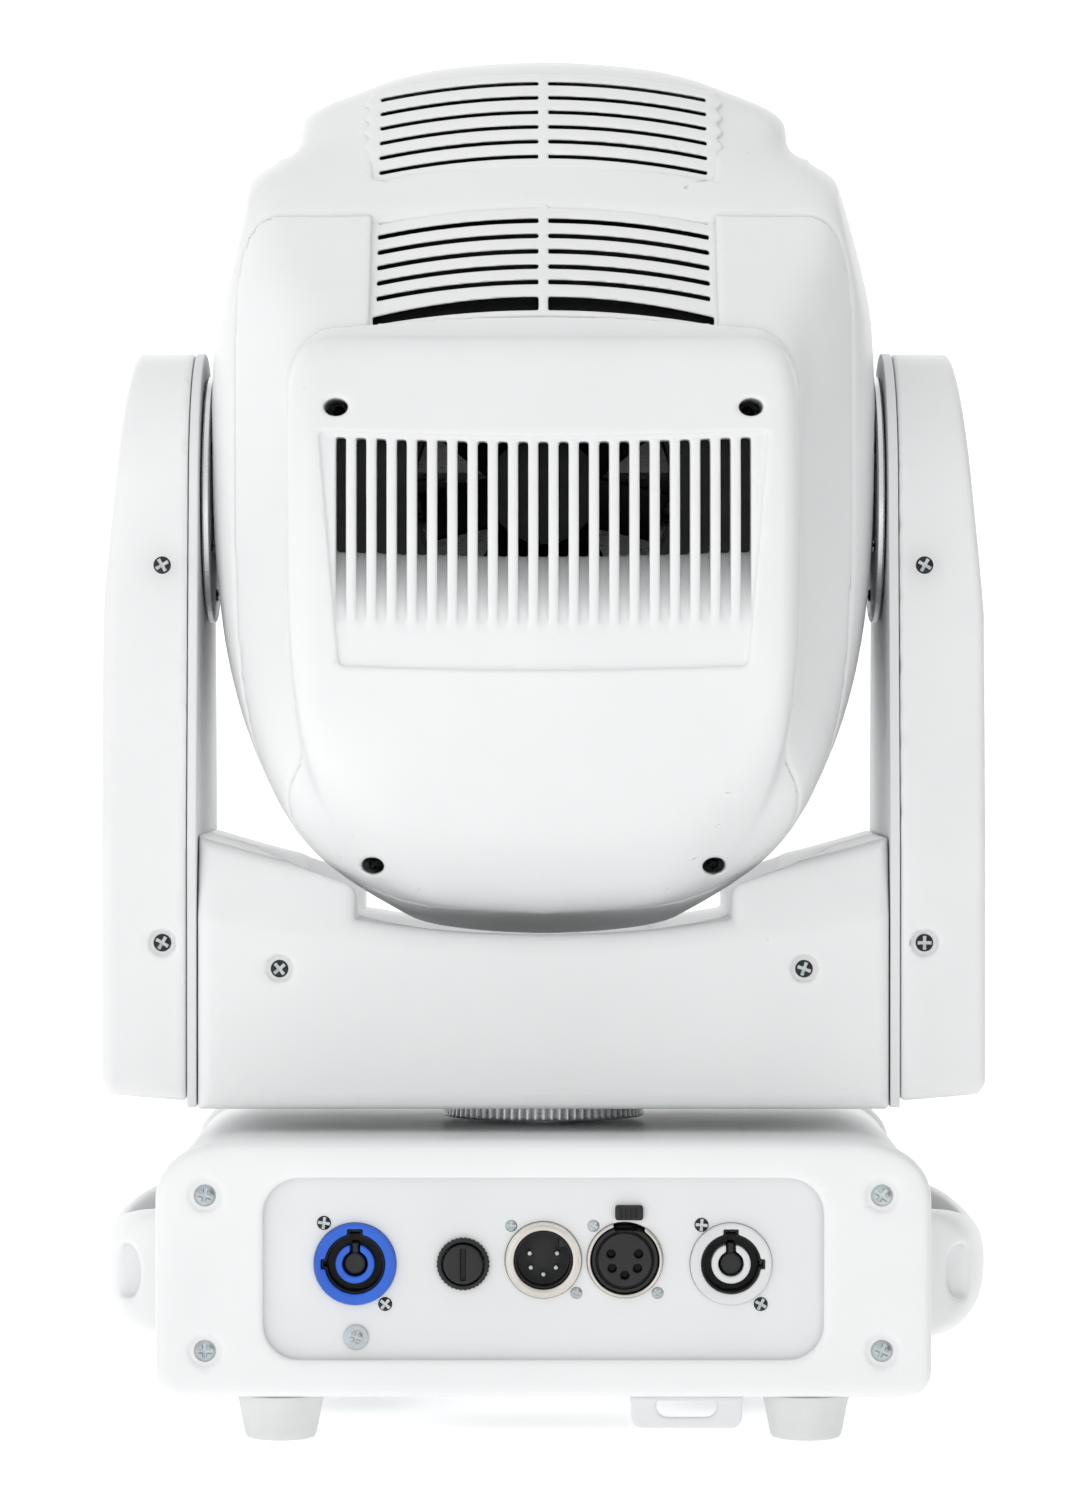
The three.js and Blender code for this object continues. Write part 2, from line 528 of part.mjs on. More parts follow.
function buildTiltDrive() {
  const pulley = ring('X', 12 + GAP, TILT_PULLEY_R, 118, 126, 28);
  put('tilt_pulley', pulley, ALUMINIUM, head);
  const centreA = [0, TILT_Z];
  const centreB = [0, TILT_PINION_Z];
  const outer = alongX(beltShape(centreA, TILT_PULLEY_R + 2, centreB, PINION_R + 2), 119, 125, 8);
  const inner = alongX(beltShape(centreA, TILT_PULLEY_R + GAP, centreB, PINION_R + GAP), 110, 130, 8);
  put('tilt_belt', outer.subtract(inner), BELT);
  const pinion = ring('X', 2.5 + GAP, PINION_R, 118, 126, 16);
  put('tilt_pinion', pinion.translate([0, 0, TILT_PINION_Z]), ALUMINIUM);
  const square = roundedRect(-16, 16, TILT_PINION_Z - 9, TILT_PINION_Z + 23, 4);
  const motorBody = alongX(square, 76, 104, 3);
  const motorShaft = rod('X', 2.5, 103, 126, 10).translate([0, 0, TILT_PINION_Z]);
  put('tilt_motor', joined([motorBody, motorShaft]), BLACK);
}

// ---- head ----
// The shell is where five forms meet: its rear outline, its side profile, its plan, the round sweep
// about the tilt axis and the round front. k draws the whole form in for the hollow.
const DRUM_HALF = [[0, -141.2], [36.5, -138.6], [48, -131.5], [64, -121], [75, -109], [85, -91], [94, -70],
  [100, -46], [104, -20], [105.5, 12], [105.2, 40], [103.5, 62], [100.5, 82], [93, 103.5], [76, 107], [0, 108]];
const HOOD_HALF = [[0, 40], [79, 40], [78, 110], [77, 121], [73, 124.5], [59, 131],
  [42, 137.3], [22, 142.4], [0, HEAD_R]];
const SIDE_PROFILE = [[BEZEL_Y, -BEZEL_R - 4], [60, -121], [25, -139], [0, -141.2], [-25, -138], [-48, -130],
  [-66, -121.5], [-85, -106], [-98, -85], [-106, -55], [-108, -20], [-107, 10], [-103, 38], [-97, 46],
  [-84, 50], [-50, 99], [-26, 131], [-14, 140.5], [0, HEAD_R], [25, 141.5], [60, 122], [BEZEL_Y, BEZEL_R + 4]];
const PLAN_HALF = [[BEZEL_Y, 99], [50, 104.5], [15, 105.5], [-15, 105.5], [-40, 102], [-62, 93], [-76, 84],
  [-80, 78.5], [-120, 78.5]];
const FRONT_ROUND = [[BEZEL_R, BEZEL_Y], [104, 66], [113, 46], [129, 22], [145, 0], [163, -30], [160, -130]];

function headForm(k) {
  const scaled = (points) => points.map(([a, b]) => [a * k, b * k]);
  const drum = alongY(symmetric(scaled(DRUM_HALF)), -120, BEZEL_Y);
  const hood = alongY(symmetric(scaled(HOOD_HALF)), -120, BEZEL_Y);
  const side = alongX(polygon(scaled(SIDE_PROFILE)), -110, 110);
  const planRight = scaled(PLAN_HALF).map(([y, x]) => [x, y]);
  const planLeft = planRight.map(([x, y]) => [-x, y]).reverse();
  const plan = alongZ(polygon([...planRight, ...planLeft].reverse()), -150, 150);
  const front = turned('Y', [[0, BEZEL_Y], ...scaled(FRONT_ROUND), [0, -130]].reverse(), 28);
  const sweep = sweepSolid(k < 1 ? -WALL : 0, 32);
  const body = joined([drum.intersect(plan), hood]);
  return body.intersect(side).intersect(sweep).intersect(front);
}

// One vent slot: a thin band that rises towards the middle, left or right of the centre bar.
function ventSlot(side, z, height, halfWidth) {
  const DROP = 5.4;
  const inner = 1.5;
  const at = (x) => z - DROP * (x / halfWidth) ** 2;
  const xs = [0, 0.5, 1].map((part) => inner + (halfWidth - inner) * part);
  const lower = xs.map((x) => [side * x, at(x) - height / 2]);
  const upper = xs.map((x) => [side * x, at(x) + height / 2]).reverse();
  const points = side > 0 ? [...lower, ...upper] : [...upper, ...lower];
  return polygon(points);
}

const UPPER_VENTS = [132, 127, 122, 117, 112, 107];
const LOWER_VENTS = [90.5, 85.4, 80.3, 75.2, 70.1, 65];
const VENT_HALF = 52;
const between = (y0, y1) => box(-200, 200, y0, y1, -200, 200);

function buildHeadShells() {
  const outer = headForm(1);
  const hollow = headForm(1 - WALL / 105).intersect(between(-200, BEZEL_Y - 1))
    .add(rod('Y', BEZEL_R - 4, BEZEL_Y - 10, BEZEL_Y + 5, 32));
  const shell = outer.subtract(hollow);
  const slots = (heights, y0, y1) => heights.flatMap((z) => [-1, 1].map((side) =>
    alongY(ventSlot(side, z, 1.6, VENT_HALF), y0, y1)));
  const shaftHole = rod('X', 12 + GAP, -120, 120, 20);
  const mainHalf = shell.intersect(between(SHELL_SPLIT_Y + GAP, BEZEL_Y));
  const main = cut(mainHalf, [...slots(UPPER_VENTS, -70, -6), shaftHole]);
  put('head_main_shell', main, WHITE, head);
  const bottomSlot = [-1, 1].map((side) => alongY(ventSlot(side, 58.5, 3, VENT_HALF), -84, -60));
  const rear = shell.intersect(between(COVER_SPLIT_Y + GAP, SHELL_SPLIT_Y));
  put('head_rear_shell', cut(rear, [...slots(LOWER_VENTS, -90, -50), ...bottomSlot]), WHITE, head);

  const gaps = [];
  for (let i = 0; i < GRILLE_BARS; i += 1) {
    const x = (i - (GRILLE_BARS - 1) / 2) * GRILLE_PITCH;
    gaps.push(box(x - 1.55, x + 1.55, -120, -96, -22, 15));
  }
  const bores = [[63.6, 24.6], [-63.6, 24.6], [54, -114], [-54, -114]].map(([x, z]) =>
    rod('Y', 3.4, -120, -80, 12).translate([x, 0, z]));
  const cover = shell.intersect(between(-200, COVER_SPLIT_Y));
  put('head_rear_cover', cut(cover, [...gaps, ...bores]), WHITE, head);
}

// Nineteen lens places in a honeycomb.
function honeycomb() {
  const places = [];
  for (let row = -2; row <= 2; row += 1) {
    const count = 5 - Math.abs(row);
    for (let i = 0; i < count; i += 1) {
      places.push([(i - (count - 1) / 2) * LENS_PITCH, row * LENS_PITCH * Math.sin(Math.PI / 3)]);
    }
  }
  return places;
}

function buildOptics() {
  const bezel = turned('Y', [[89, BEZEL_Y + GAP], [BEZEL_R, BEZEL_Y + GAP], [BEZEL_R, BEZEL_Y + 4],
    [BEZEL_R - 3, BEZEL_Y + 6], [89, BEZEL_Y + 5]], 32);
  put('lens_bezel', bezel, BLACK, head);
  const places = honeycomb();
  const plateHoles = places.map(([x, z]) => rod('Y', LENS_R + 2 * GAP, 70, 90, 8).translate([x, 0, z]));
  put('lens_plate', cut(rod('Y', 88.1, BEZEL_Y - 1, BEZEL_Y + 2, 28), plateHoles), BLACK, head);
  const backing = rod('Y', 90, BEZEL_Y - 5, BEZEL_Y - 1.4, 28);
  const dome = turned('Y', [[0, BEZEL_Y - 4], [LENS_R, BEZEL_Y - 4], [LENS_R, BEZEL_Y + 1], [0, BEZEL_Y + 4.2]], 8);
  const bumps = places.map(([x, z]) => dome.translate([x, 0, z]));
  put('lens_array', joined([backing, ...bumps]), GLASS, head);
  put('led_board', rod('Y', 86, 59.4, 61.2, 28), BOARD, head);
  const fins = [];
  for (let i = -4; i <= 4; i += 1) {
    fins.push(box(i * 13 - 1.2, i * 13 + 1.2, 22, 55.5, -60, 60));
  }
  put('heat_sink', joined([rod('Y', 84, 55, 59, 28), ...fins]), ALUMINIUM, head);
}

const FAN_R = 38;
function buildHeadInside() {
  const sides = [-1, 1].map((side) => box(side * 93 - 1.5, side * 93 + 1.5, -22, 16, -36, 36));
  const bridge = box(-94, 94, 8, 18, -36, 36);
  const shaftHoles = rod('X', 12 + GAP, -110, 110, 20);
  put('head_frame', cut(joined([...sides, bridge]), [shaftHoles]), STEEL, head);
  const frame = alongY(roundedRect(-44, 44, -44, 44, 6), -92, -68, 4)
    .subtract(rod('Y', FAN_R + 2, -100, -60, 28));
  const spider = [box(-43, 43, -70.5, -68, -3, 3), box(-3, 3, -70.5, -68, -43, 43),
    rod('Y', 17, -70.5, -68, 20)];
  put('fan_frame', joined([frame, ...spider]), BLACK, head);
  const blades = [];
  for (let i = 0; i < 7; i += 1) {
    const blade = box(-9, 9, -0.9, 0.9, 12, FAN_R);
    blades.push(blade.rotate([0, 0, 35]).translate([0, -80, 0]).rotate([0, (i * 360) / 7, 0]));
  }
  put('fan_rotor', joined([rod('Y', 17, -90, -71, 20), ...blades]), BLACK, head);
}

buildHousing();
buildEndCap('rear_end_cap', -1, roundedRect(-PANEL_W / 2, PANEL_W / 2, PANEL_Z0, PANEL_Z1, 11), []);
buildPanel();
buildPowerSocket('power_inlet', BLUE);
buildPowerSocket('power_outlet', WHITE);
buildDataSockets();
buildFuse();
buildFront();
buildFeet();
buildUnderside();
buildHandles();
buildBaseInside();
buildPanDrive();
buildYokeCovers();
buildYokeChassis();
buildArms();
buildTiltDrive();
buildHeadShells();
buildOptics();
buildHeadInside();

export default light;
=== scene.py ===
"""Moving head light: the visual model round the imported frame.

Lengths in the shape functions are millimetres in the row frame, and MM turns them into metres.
Moulded parts are made as distance fields, so their edges are rounded as a moulding's are.
"""
import json
import math

import bmesh
import bpy
import numpy as np
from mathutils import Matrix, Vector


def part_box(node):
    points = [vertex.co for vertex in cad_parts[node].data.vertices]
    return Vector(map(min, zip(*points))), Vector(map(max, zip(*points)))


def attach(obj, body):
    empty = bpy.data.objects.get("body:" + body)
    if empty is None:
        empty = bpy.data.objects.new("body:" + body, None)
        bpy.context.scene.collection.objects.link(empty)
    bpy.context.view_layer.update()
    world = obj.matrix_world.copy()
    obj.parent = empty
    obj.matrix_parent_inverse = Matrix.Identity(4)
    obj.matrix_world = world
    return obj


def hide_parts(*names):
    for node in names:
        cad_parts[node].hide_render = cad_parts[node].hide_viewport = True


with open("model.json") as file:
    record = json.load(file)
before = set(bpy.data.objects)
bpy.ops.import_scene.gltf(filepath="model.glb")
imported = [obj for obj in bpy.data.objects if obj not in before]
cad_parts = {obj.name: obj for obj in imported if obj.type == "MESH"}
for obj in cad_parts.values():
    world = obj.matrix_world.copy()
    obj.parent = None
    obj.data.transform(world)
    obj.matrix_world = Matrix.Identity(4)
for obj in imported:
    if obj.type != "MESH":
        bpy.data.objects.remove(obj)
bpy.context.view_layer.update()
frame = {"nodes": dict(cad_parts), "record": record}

import openvdb as vdb
from mathutils import Matrix, Vector

NODES = frame["nodes"]
MM = 0.001


def node_mm(name):
    """The lowest and highest corner of a CAD node, in millimetres."""
    low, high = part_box(name)
    return np.array(low) / MM, np.array(high) / MM


# ---- sizes read from the frame ----
CAP_LOW, CAP_HIGH = node_mm("rear_end_cap")
FRONT_LOW, FRONT_HIGH = node_mm("front_end_cap")
BASE_HALF_W = CAP_HIGH[0]
BASE_Z0, BASE_Z1 = CAP_LOW[2], CAP_HIGH[2]
REAR_Y = CAP_LOW[1]
PANEL_Y = node_mm("connector_panel")[0][1]
TILT_Z = sum(b[2] for b in node_mm("tilt_shaft_left")) / 2
TILT_AXIS = (0, 0, TILT_Z)
YOKE_LOW, YOKE_HIGH = node_mm("yoke_cover_rear")
ARM_LOW, ARM_HIGH = node_mm("arm_cover_right")
BEZEL_LOW, BEZEL_HIGH = node_mm("lens_bezel")
GAP = 0.3


# ---- materials ----
class Nodes:
    """A short way to write a node material."""

    def __init__(self, name):
        self.material = bpy.data.materials.new(name)
        self.material.use_nodes = True
        self.tree = self.material.node_tree
        self.shader = self.tree.nodes["Principled BSDF"]
        self.coords = self.tree.nodes.new("ShaderNodeTexCoord").outputs["Object"]

    def add(self, kind, links=(), **values):
        node = self.tree.nodes.new(kind)
        for key, value in values.items():
            setattr(node, key, value)
        for socket, source in links:
            if hasattr(source, "is_linked") or hasattr(source, "links"):
                self.tree.links.new(source, node.inputs[socket])
            else:
                node.inputs[socket].default_value = source
        return node

    def noise(self, scale, detail=3.0, rough=0.55, stretch=None):
        coords = self.coords
        if stretch:
            coords = self.add("ShaderNodeMapping", [("Vector", self.coords), ("Scale", stretch)]).outputs[0]
        node = self.add("ShaderNodeTexNoise", [("Vector", coords), ("Scale", scale), ("Detail", detail),
                                               ("Roughness", rough)])
        return node.outputs["Fac"]

    def ramp(self, factor, low, high, colour_low, colour_high):
        node = self.add("ShaderNodeValToRGB", [("Fac", factor)])
        first, last = node.color_ramp.elements
        first.position, last.position = low, high
        first.color, last.color = (*colour_low, 1), (*colour_high, 1)
        return node.outputs["Color"]

    def span(self, factor, low, high):
        """factor from 0..1 spread over low..high."""
        node = self.add("ShaderNodeMapRange", [("Value", factor), ("To Min", low), ("To Max", high)])
        return node.outputs[0]

    def mix(self, factor, a, b):
        node = self.add("ShaderNodeMix", [("Factor", factor)], data_type="RGBA")
        for index, value in ((6, a), (7, b)):
            if hasattr(value, "is_linked"):
                self.tree.links.new(value, node.inputs[index])
            else:
                node.inputs[index].default_value = (*value, 1)
        return node.outputs[2]

    def bump(self, height, strength, distance):
        node = self.add("ShaderNodeBump", [("Height", height), ("Strength", strength), ("Distance", distance)])
        self.set("Normal", node.outputs[0])

    def edges(self, low, high):
        """1 on convex edges, 0 elsewhere: the mask for a painted edge highlight."""
        point = self.add("ShaderNodeNewGeometry").outputs["Pointiness"]
        node = self.add("ShaderNodeMapRange", [("Value", point), ("From Min", low), ("From Max", high)])
        return node.outputs[0]

    def set(self, socket, value):
        if hasattr(value, "is_linked"):
            self.tree.links.new(value, self.shader.inputs[socket])
        else:
            self.shader.inputs[socket].default_value = value


def white_shell():
    """Satin white moulding: faint orange peel, slight tone drift, and convex edges painted lighter, a painted
    highlight together with a little edge wear.
    """
    n = Nodes("white_shell")
    drift = n.noise(9.0, 4.0)
    tone = n.ramp(drift, 0.35, 0.7, (0.81, 0.82, 0.825), (0.86, 0.868, 0.872))
    # Convex edges are painted lighter: a painted edge highlight, with some edge wear.
    n.set("Base Color", n.mix(n.edges(0.5, 0.62), tone, (0.90, 0.903, 0.905)))
    n.set("Roughness", n.span(n.noise(60.0, 2.0), 0.30, 0.42))
    n.set("Specular IOR Level", 0.45)
    n.set("Coat Weight", 0.12)
    n.set("Coat Roughness", 0.22)
    n.bump(n.noise(900.0, 2.0), 0.05, 0.0003)
    return n.material


def white_metal():
    """White powder coat, finely pebbled."""
    n = Nodes("white_metal")
    n.set("Base Color", n.ramp(n.noise(14.0), 0.3, 0.75, (0.74, 0.755, 0.765), (0.80, 0.81, 0.815)))
    n.set("Roughness", n.span(n.noise(400.0, 2.0), 0.42, 0.56))
    n.bump(n.noise(1500.0, 2.0), 0.10, 0.0003)
    return n.material


def plastic(name, low, high, rough_low, rough_high, grain=1200.0, bump=0.08):
    """Moulded plastic with a fine grain."""
    n = Nodes(name)
    n.set("Base Color", n.ramp(n.noise(40.0), 0.3, 0.7, low, high))
    n.set("Roughness", n.span(n.noise(200.0, 2.0), rough_low, rough_high))
    n.bump(n.noise(grain, 2.0), bump, 0.0002)
    return n.material


def metal(name, low, high, rough_low, rough_high, stretch=(1, 1, 1), scale=300.0, bump=0.05):
    """Bare or plated metal with drawn streaks or a cloudy plate."""
    n = Nodes(name)
    streak = n.noise(scale, 4.0, 0.6, stretch)
    n.set("Base Color", n.ramp(streak, 0.3, 0.7, low, high))
    n.set("Metallic", 1.0)
    n.set("Roughness", n.span(streak, rough_low, rough_high))
    n.bump(streak, bump, 0.0001)
    return n.material


def circuit_board():
    n = Nodes("circuit_board")
    tracks = n.add("ShaderNodeTexBrick", [("Vector", n.coords), ("Scale", 180.0), ("Mortar Size", 0.03),
                                          ("Color1", (0.01, 0.11, 0.04, 1)), ("Color2", (0.012, 0.14, 0.05, 1)),
                                          ("Mortar", (0.02, 0.2, 0.08, 1))])
    n.set("Base Color", tracks.outputs["Color"])
    n.set("Roughness", n.span(n.noise(300.0), 0.3, 0.5))
    return n.material


def clear_lens():
    n = Nodes("lens_glass")
    n.set("Base Color", n.ramp(n.noise(20.0), 0.3, 0.7, (0.82, 0.85, 0.87), (0.9, 0.92, 0.93)))
    n.set("Roughness", n.span(n.noise(500.0), 0.05, 0.14))
    n.set("Transmission Weight", 0.85)
    n.set("IOR", 1.49)
    n.bump(n.noise(700.0), 0.03, 0.0002)
    return n.material


def display_glass():
    n = Nodes("display_glass")
    n.set("Base Color", n.ramp(n.noise(8.0), 0.3, 0.7, (0.008, 0.010, 0.013), (0.014, 0.017, 0.022)))
    n.set("Roughness", n.span(n.noise(30.0), 0.05, 0.12))
    n.set("Coat Weight", 0.6)
    n.set("Coat Roughness", 0.04)
    return n.material


MATERIALS = {
    "white_shell": white_shell(),
    "white_metal": white_metal(),
    "foot_rubber": plastic("foot_rubber", (0.66, 0.67, 0.67), (0.74, 0.75, 0.75), 0.5, 0.7, 700.0, 0.15),
    "blue_plastic": plastic("blue_plastic", (0.010, 0.095, 0.56), (0.016, 0.13, 0.66), 0.28, 0.40),
    "white_plastic": plastic("white_plastic", (0.66, 0.68, 0.69), (0.74, 0.75, 0.76), 0.32, 0.45),
    "nickel": metal("nickel", (0.58, 0.55, 0.51), (0.66, 0.63, 0.59), 0.24, 0.34, scale=90.0, bump=0.02),
    "black_plastic": plastic("black_plastic", (0.004, 0.004, 0.005), (0.009, 0.009, 0.010), 0.42, 0.6),
    "display_glass": display_glass(),
    "lens_glass": clear_lens(),
    "circuit_board": circuit_board(),
    "zinc_steel": metal("zinc_steel", (0.38, 0.43, 0.45), (0.56, 0.59, 0.60), 0.25, 0.42, scale=120.0),
    "aluminium": metal("aluminium", (0.70, 0.71, 0.72), (0.82, 0.83, 0.84), 0.22, 0.36, (1, 1, 12)),
    "motor_black": metal("motor_black", (0.02, 0.02, 0.022), (0.04, 0.04, 0.042), 0.4, 0.55),
    "belt_rubber": plastic("belt_rubber", (0.012, 0.012, 0.012), (0.03, 0.03, 0.03), 0.6, 0.8),
}
SLOT_OF = {row["node"]: row["material_slot"] for row in frame["record"]["subparts"]}
BODY_OF = {node: body for body, nodes in frame["record"]["behaviour"]["bodies"].items() for node in nodes}
for node_name, obj in NODES.items():
    obj.data.materials.clear()
    obj.data.materials.append(MATERIALS[SLOT_OF[node_name]])


# ---- pieces ----
def finish_piece(name, mesh, body, slot, replaces=(), smooth=True):
    """Links a mesh given in metres as a piece of the object."""
    obj = bpy.data.objects.new(name, mesh)
    bpy.context.scene.collection.objects.link(obj)
    mesh.materials.append(MATERIALS[slot])
    mesh.polygons.foreach_set("use_smooth", [smooth] * len(mesh.polygons))
    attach(obj, body)
    if replaces:
        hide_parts(*replaces)
    return obj


def sharpen(obj, degrees=32, bevel=0.0, segments=2):
    """Rounds the hard edges of a piece by bevel mm, and keeps its flat faces flat."""
    if bevel:
        rounding = obj.modifiers.new("edge_round", "BEVEL")
        rounding.width = bevel * MM
        rounding.segments = segments
        rounding.limit_method = "ANGLE"
        rounding.angle_limit = math.radians(degrees)
        rounding.harden_normals = False
        rounding.use_clamp_overlap = True
    weighted = obj.modifiers.new("even_normals", "WEIGHTED_NORMAL")
    weighted.keep_sharp = True
    weighted.weight = 60
    return obj


# ---- distance fields ----
def smax(a, b, k):
    return np.maximum(a, b) + np.maximum(k - np.abs(a - b), 0) ** 2 / (4 * k)


def smin(a, b, k):
    return -smax(-a, -b, k)


def outline_distance(u, v, points):
    """Signed distance in a plane to a closed polygon, negative inside. u and v broadcast together."""
    u, v = np.broadcast_arrays(u, v)
    best = np.full(u.shape, 1e9)
    inside = np.zeros(u.shape, bool)
    for (ax, ay), (bx, by) in zip(points, [*points[1:], points[0]]):
        ex, ey = bx - ax, by - ay
        along = np.clip(((u - ax) * ex + (v - ay) * ey) / (ex * ex + ey * ey + 1e-12), 0, 1)
        best = np.minimum(best, (u - ax - along * ex) ** 2 + (v - ay - along * ey) ** 2)
        if ay != by:
            crosses = ((ay > v) != (by > v)) & (u < (bx - ax) * (v - ay) / (by - ay) + ax)
            inside ^= crosses
    return np.where(inside, -1, 1) * np.sqrt(best)


class Block:
    """A box of space sampled on a grid, with x, y and z that broadcast together."""

    def __init__(self, low, high, step, origin=(0, 0, 0)):
        self.low, self.step = np.array(low, float) + origin, step
        axes = [np.arange(l, h + step, step) for l, h in zip(low, high)]
        self.x = axes[0][:, None, None]
        self.y = axes[1][None, :, None]
        self.z = axes[2][None, None, :]

    def box(self, low, high, r=0.0):
        """Distance to a box with rounded edges."""
        centre = [(a + b) / 2 for a, b in zip(low, high)]
        half = [(b - a) / 2 - r for a, b in zip(low, high)]
        gaps = [np.abs(axis - c) - h for axis, c, h in zip((self.x, self.y, self.z), centre, half)]
        outside = np.sqrt(sum(np.maximum(g, 0) ** 2 for g in gaps))
        inside = np.minimum(np.maximum(np.maximum(gaps[0], gaps[1]), gaps[2]), 0)
        return outside + inside - r

    def rod_y(self, cx, cz, r):
        return np.sqrt((self.x - cx) ** 2 + (self.z - cz) ** 2) - r

    def rod_x(self, cy, cz, r):
        return np.sqrt((self.y - cy) ** 2 + (self.z - cz) ** 2) - r

    def rod_z(self, cx, cy, r):
        return np.sqrt((self.x - cx) ** 2 + (self.y - cy) ** 2) - r

    def along_y(self, points):
        return outline_distance(self.x, self.z, points)

    def along_x(self, points):
        return outline_distance(self.y, self.z, points)

    def polygons(self, field, adaptivity=0.02):
        """The field's zero surface as points in mm and faces, wound as the mesher gives them."""
        shape = np.broadcast_shapes(self.x.shape, self.y.shape, self.z.shape)
        values = np.ascontiguousarray(np.broadcast_to(field, shape), dtype=np.float32)
        values = np.clip(values, -3 * self.step, 3 * self.step)
        grid = vdb.FloatGrid(3 * self.step)
        grid.copyFromArray(values)
        points, triangles, quads = grid.convertToPolygons(isovalue=0.0, adaptivity=adaptivity)
        faces = triangles.tolist() + quads.tolist()
        return points * self.step + self.low, faces

    def surface(self, name, field, body, slot, replaces=(), adaptivity=0.02):
        points, faces = self.polygons(field, adaptivity)
        mesh = bpy.data.meshes.new(name)
        mesh.from_pydata((points * MM).tolist(), [], faces)
        mesh.validate()
        return finish_piece(name, mesh, body, slot, replaces)


def spline(points, count):
    """Points on a smooth Catmull-Rom curve through the given ones."""
    pts = [np.array(p, float) for p in points]
    n = len(pts)
    result = []
    for i in range(n - 1):
        p0, p1, p2, p3 = pts[max(i - 1, 0)], pts[i], pts[i + 1], pts[min(i + 2, n - 1)]
        for t in np.linspace(0, 1, count, endpoint=False):
            result.append(0.5 * (2 * p1 + (p2 - p0) * t + (2 * p0 - 5 * p1 + 4 * p2 - p3) * t * t
                                 + (3 * p1 - p0 - 3 * p2 + p3) * t ** 3))
    result.append(pts[-1])
    return [tuple(p) for p in result]


def mirrored(right_half):
    """A left-right symmetric outline from its right half, listed from bottom to top."""
    return list(right_half) + [(-x, z) for x, z in reversed(right_half) if x > 0.01]


def rounded_rect(x0, x1, z0, z1, r, steps=6):
    points = []
    corners = ((x1 - r, z0 + r, -90), (x1 - r, z1 - r, 0), (x0 + r, z1 - r, 90), (x0 + r, z0 + r, 180))
    for cx, cz, start in corners:
        for i in range(steps + 1):
            a = math.radians(start + 90 * i / steps)
            points.append((cx + r * math.cos(a), cz + r * math.sin(a)))
    return points


# ---- base ----
def base_outline(inset=0.0):
    """The rear outline of the base: small radii below and long soft shoulders above."""
    w, z0, z1, r = BASE_HALF_W - inset, BASE_Z0 + inset, BASE_Z1 - inset, 8 - inset / 2
    corner = [(w - r + r * math.sin(a), z0 + r - r * math.cos(a)) for a in np.linspace(0, math.pi / 2, 7)]
    start, control, end = np.array((w, z1 - 17)), np.array((w - 1, z1 - 1)), np.array((w - 25, z1))
    shoulder = [tuple((1 - t) ** 2 * start + 2 * t * (1 - t) * control + t * t * end)
                for t in np.linspace(0, 1, 14)]
    return mirrored([(0, z0)] + corner + shoulder + [(0, z1)])


CAP_SCREWS = [(sx * 103.2, z) for sx in (-1, 1) for z in (28.4, 75.8)]
PANEL_WINDOW = rounded_rect(-85.5, 85.5, 25.6, 81.0, 11, 8)


def end_cap(name, low, high, windows, outer_sign, extra=None):
    block = Block(low - 2, high + 2, 0.9)
    outer = smax(block.along_y(base_outline()), np.abs(block.y - (low[1] + high[1]) / 2) - (high[1] - low[1]) / 2, 4.0)
    inner_low, inner_high = low[1], high[1]
    if outer_sign < 0:
        inner_low, inner_high = low[1] + 3.6, high[1] + 20
    else:
        inner_low, inner_high = low[1] - 20, high[1] - 3.6
    hollow = smax(block.along_y(base_outline(3)), np.maximum(inner_low - block.y, block.y - inner_high), 1.0)
    field = smax(outer, -hollow, 0.8)
    for window in windows:
        field = smax(field, -block.along_y(window), 1.6)
    for x, z in CAP_SCREWS:
        seat_y = low[1] if outer_sign < 0 else high[1]
        seat = np.maximum(block.rod_y(x, z, 4.9), np.abs(block.y - seat_y) - 1.0)
        field = smax(field, -seat, 0.5)
    if extra is not None:
        field = extra(block, field)
    return block.surface(name, field, "base", "white_shell", [name])


def build_base():
    rear = end_cap("rear_end_cap", CAP_LOW, CAP_HIGH, [PANEL_WINDOW], -1)
    glass_low, glass_high = node_mm("display_window")
    display = rounded_rect(glass_low[0] - GAP, glass_high[0] + GAP, glass_low[2] - GAP, glass_high[2] + GAP, 3)
    keys = [node_mm(f"menu_key_{i}") for i in range(1, 5)]

    def key_holes(block, field):
        for low, high in keys:
            field = smax(field, -block.rod_y((low[0] + high[0]) / 2, (low[2] + high[2]) / 2, 5.3), 0.8)
        return field

    front = end_cap("front_end_cap", FRONT_LOW, FRONT_HIGH, [display], 1, key_holes)
    low, high = node_mm("base_housing")
    block = Block(low - 3, high + 3, 1.3)
    outer = block.along_y(base_outline(1.2))
    hollow = block.along_y(base_outline(4.2))
    field = smax(outer, -hollow, 1.0)
    field = smax(field, np.abs(block.y) - high[1], 0.8)
    field = smax(field, -block.box((-104.8, -200, 0), (104.8, 200, BASE_Z0 + 6)), 0.8)
    shaft = np.maximum(block.rod_z(0, 0, 15.5), 60 - block.z)
    field = smax(field, -shaft, 1.0)
    block.surface("base_housing", field, "base", "white_shell", ["base_housing"])
    return rear, front


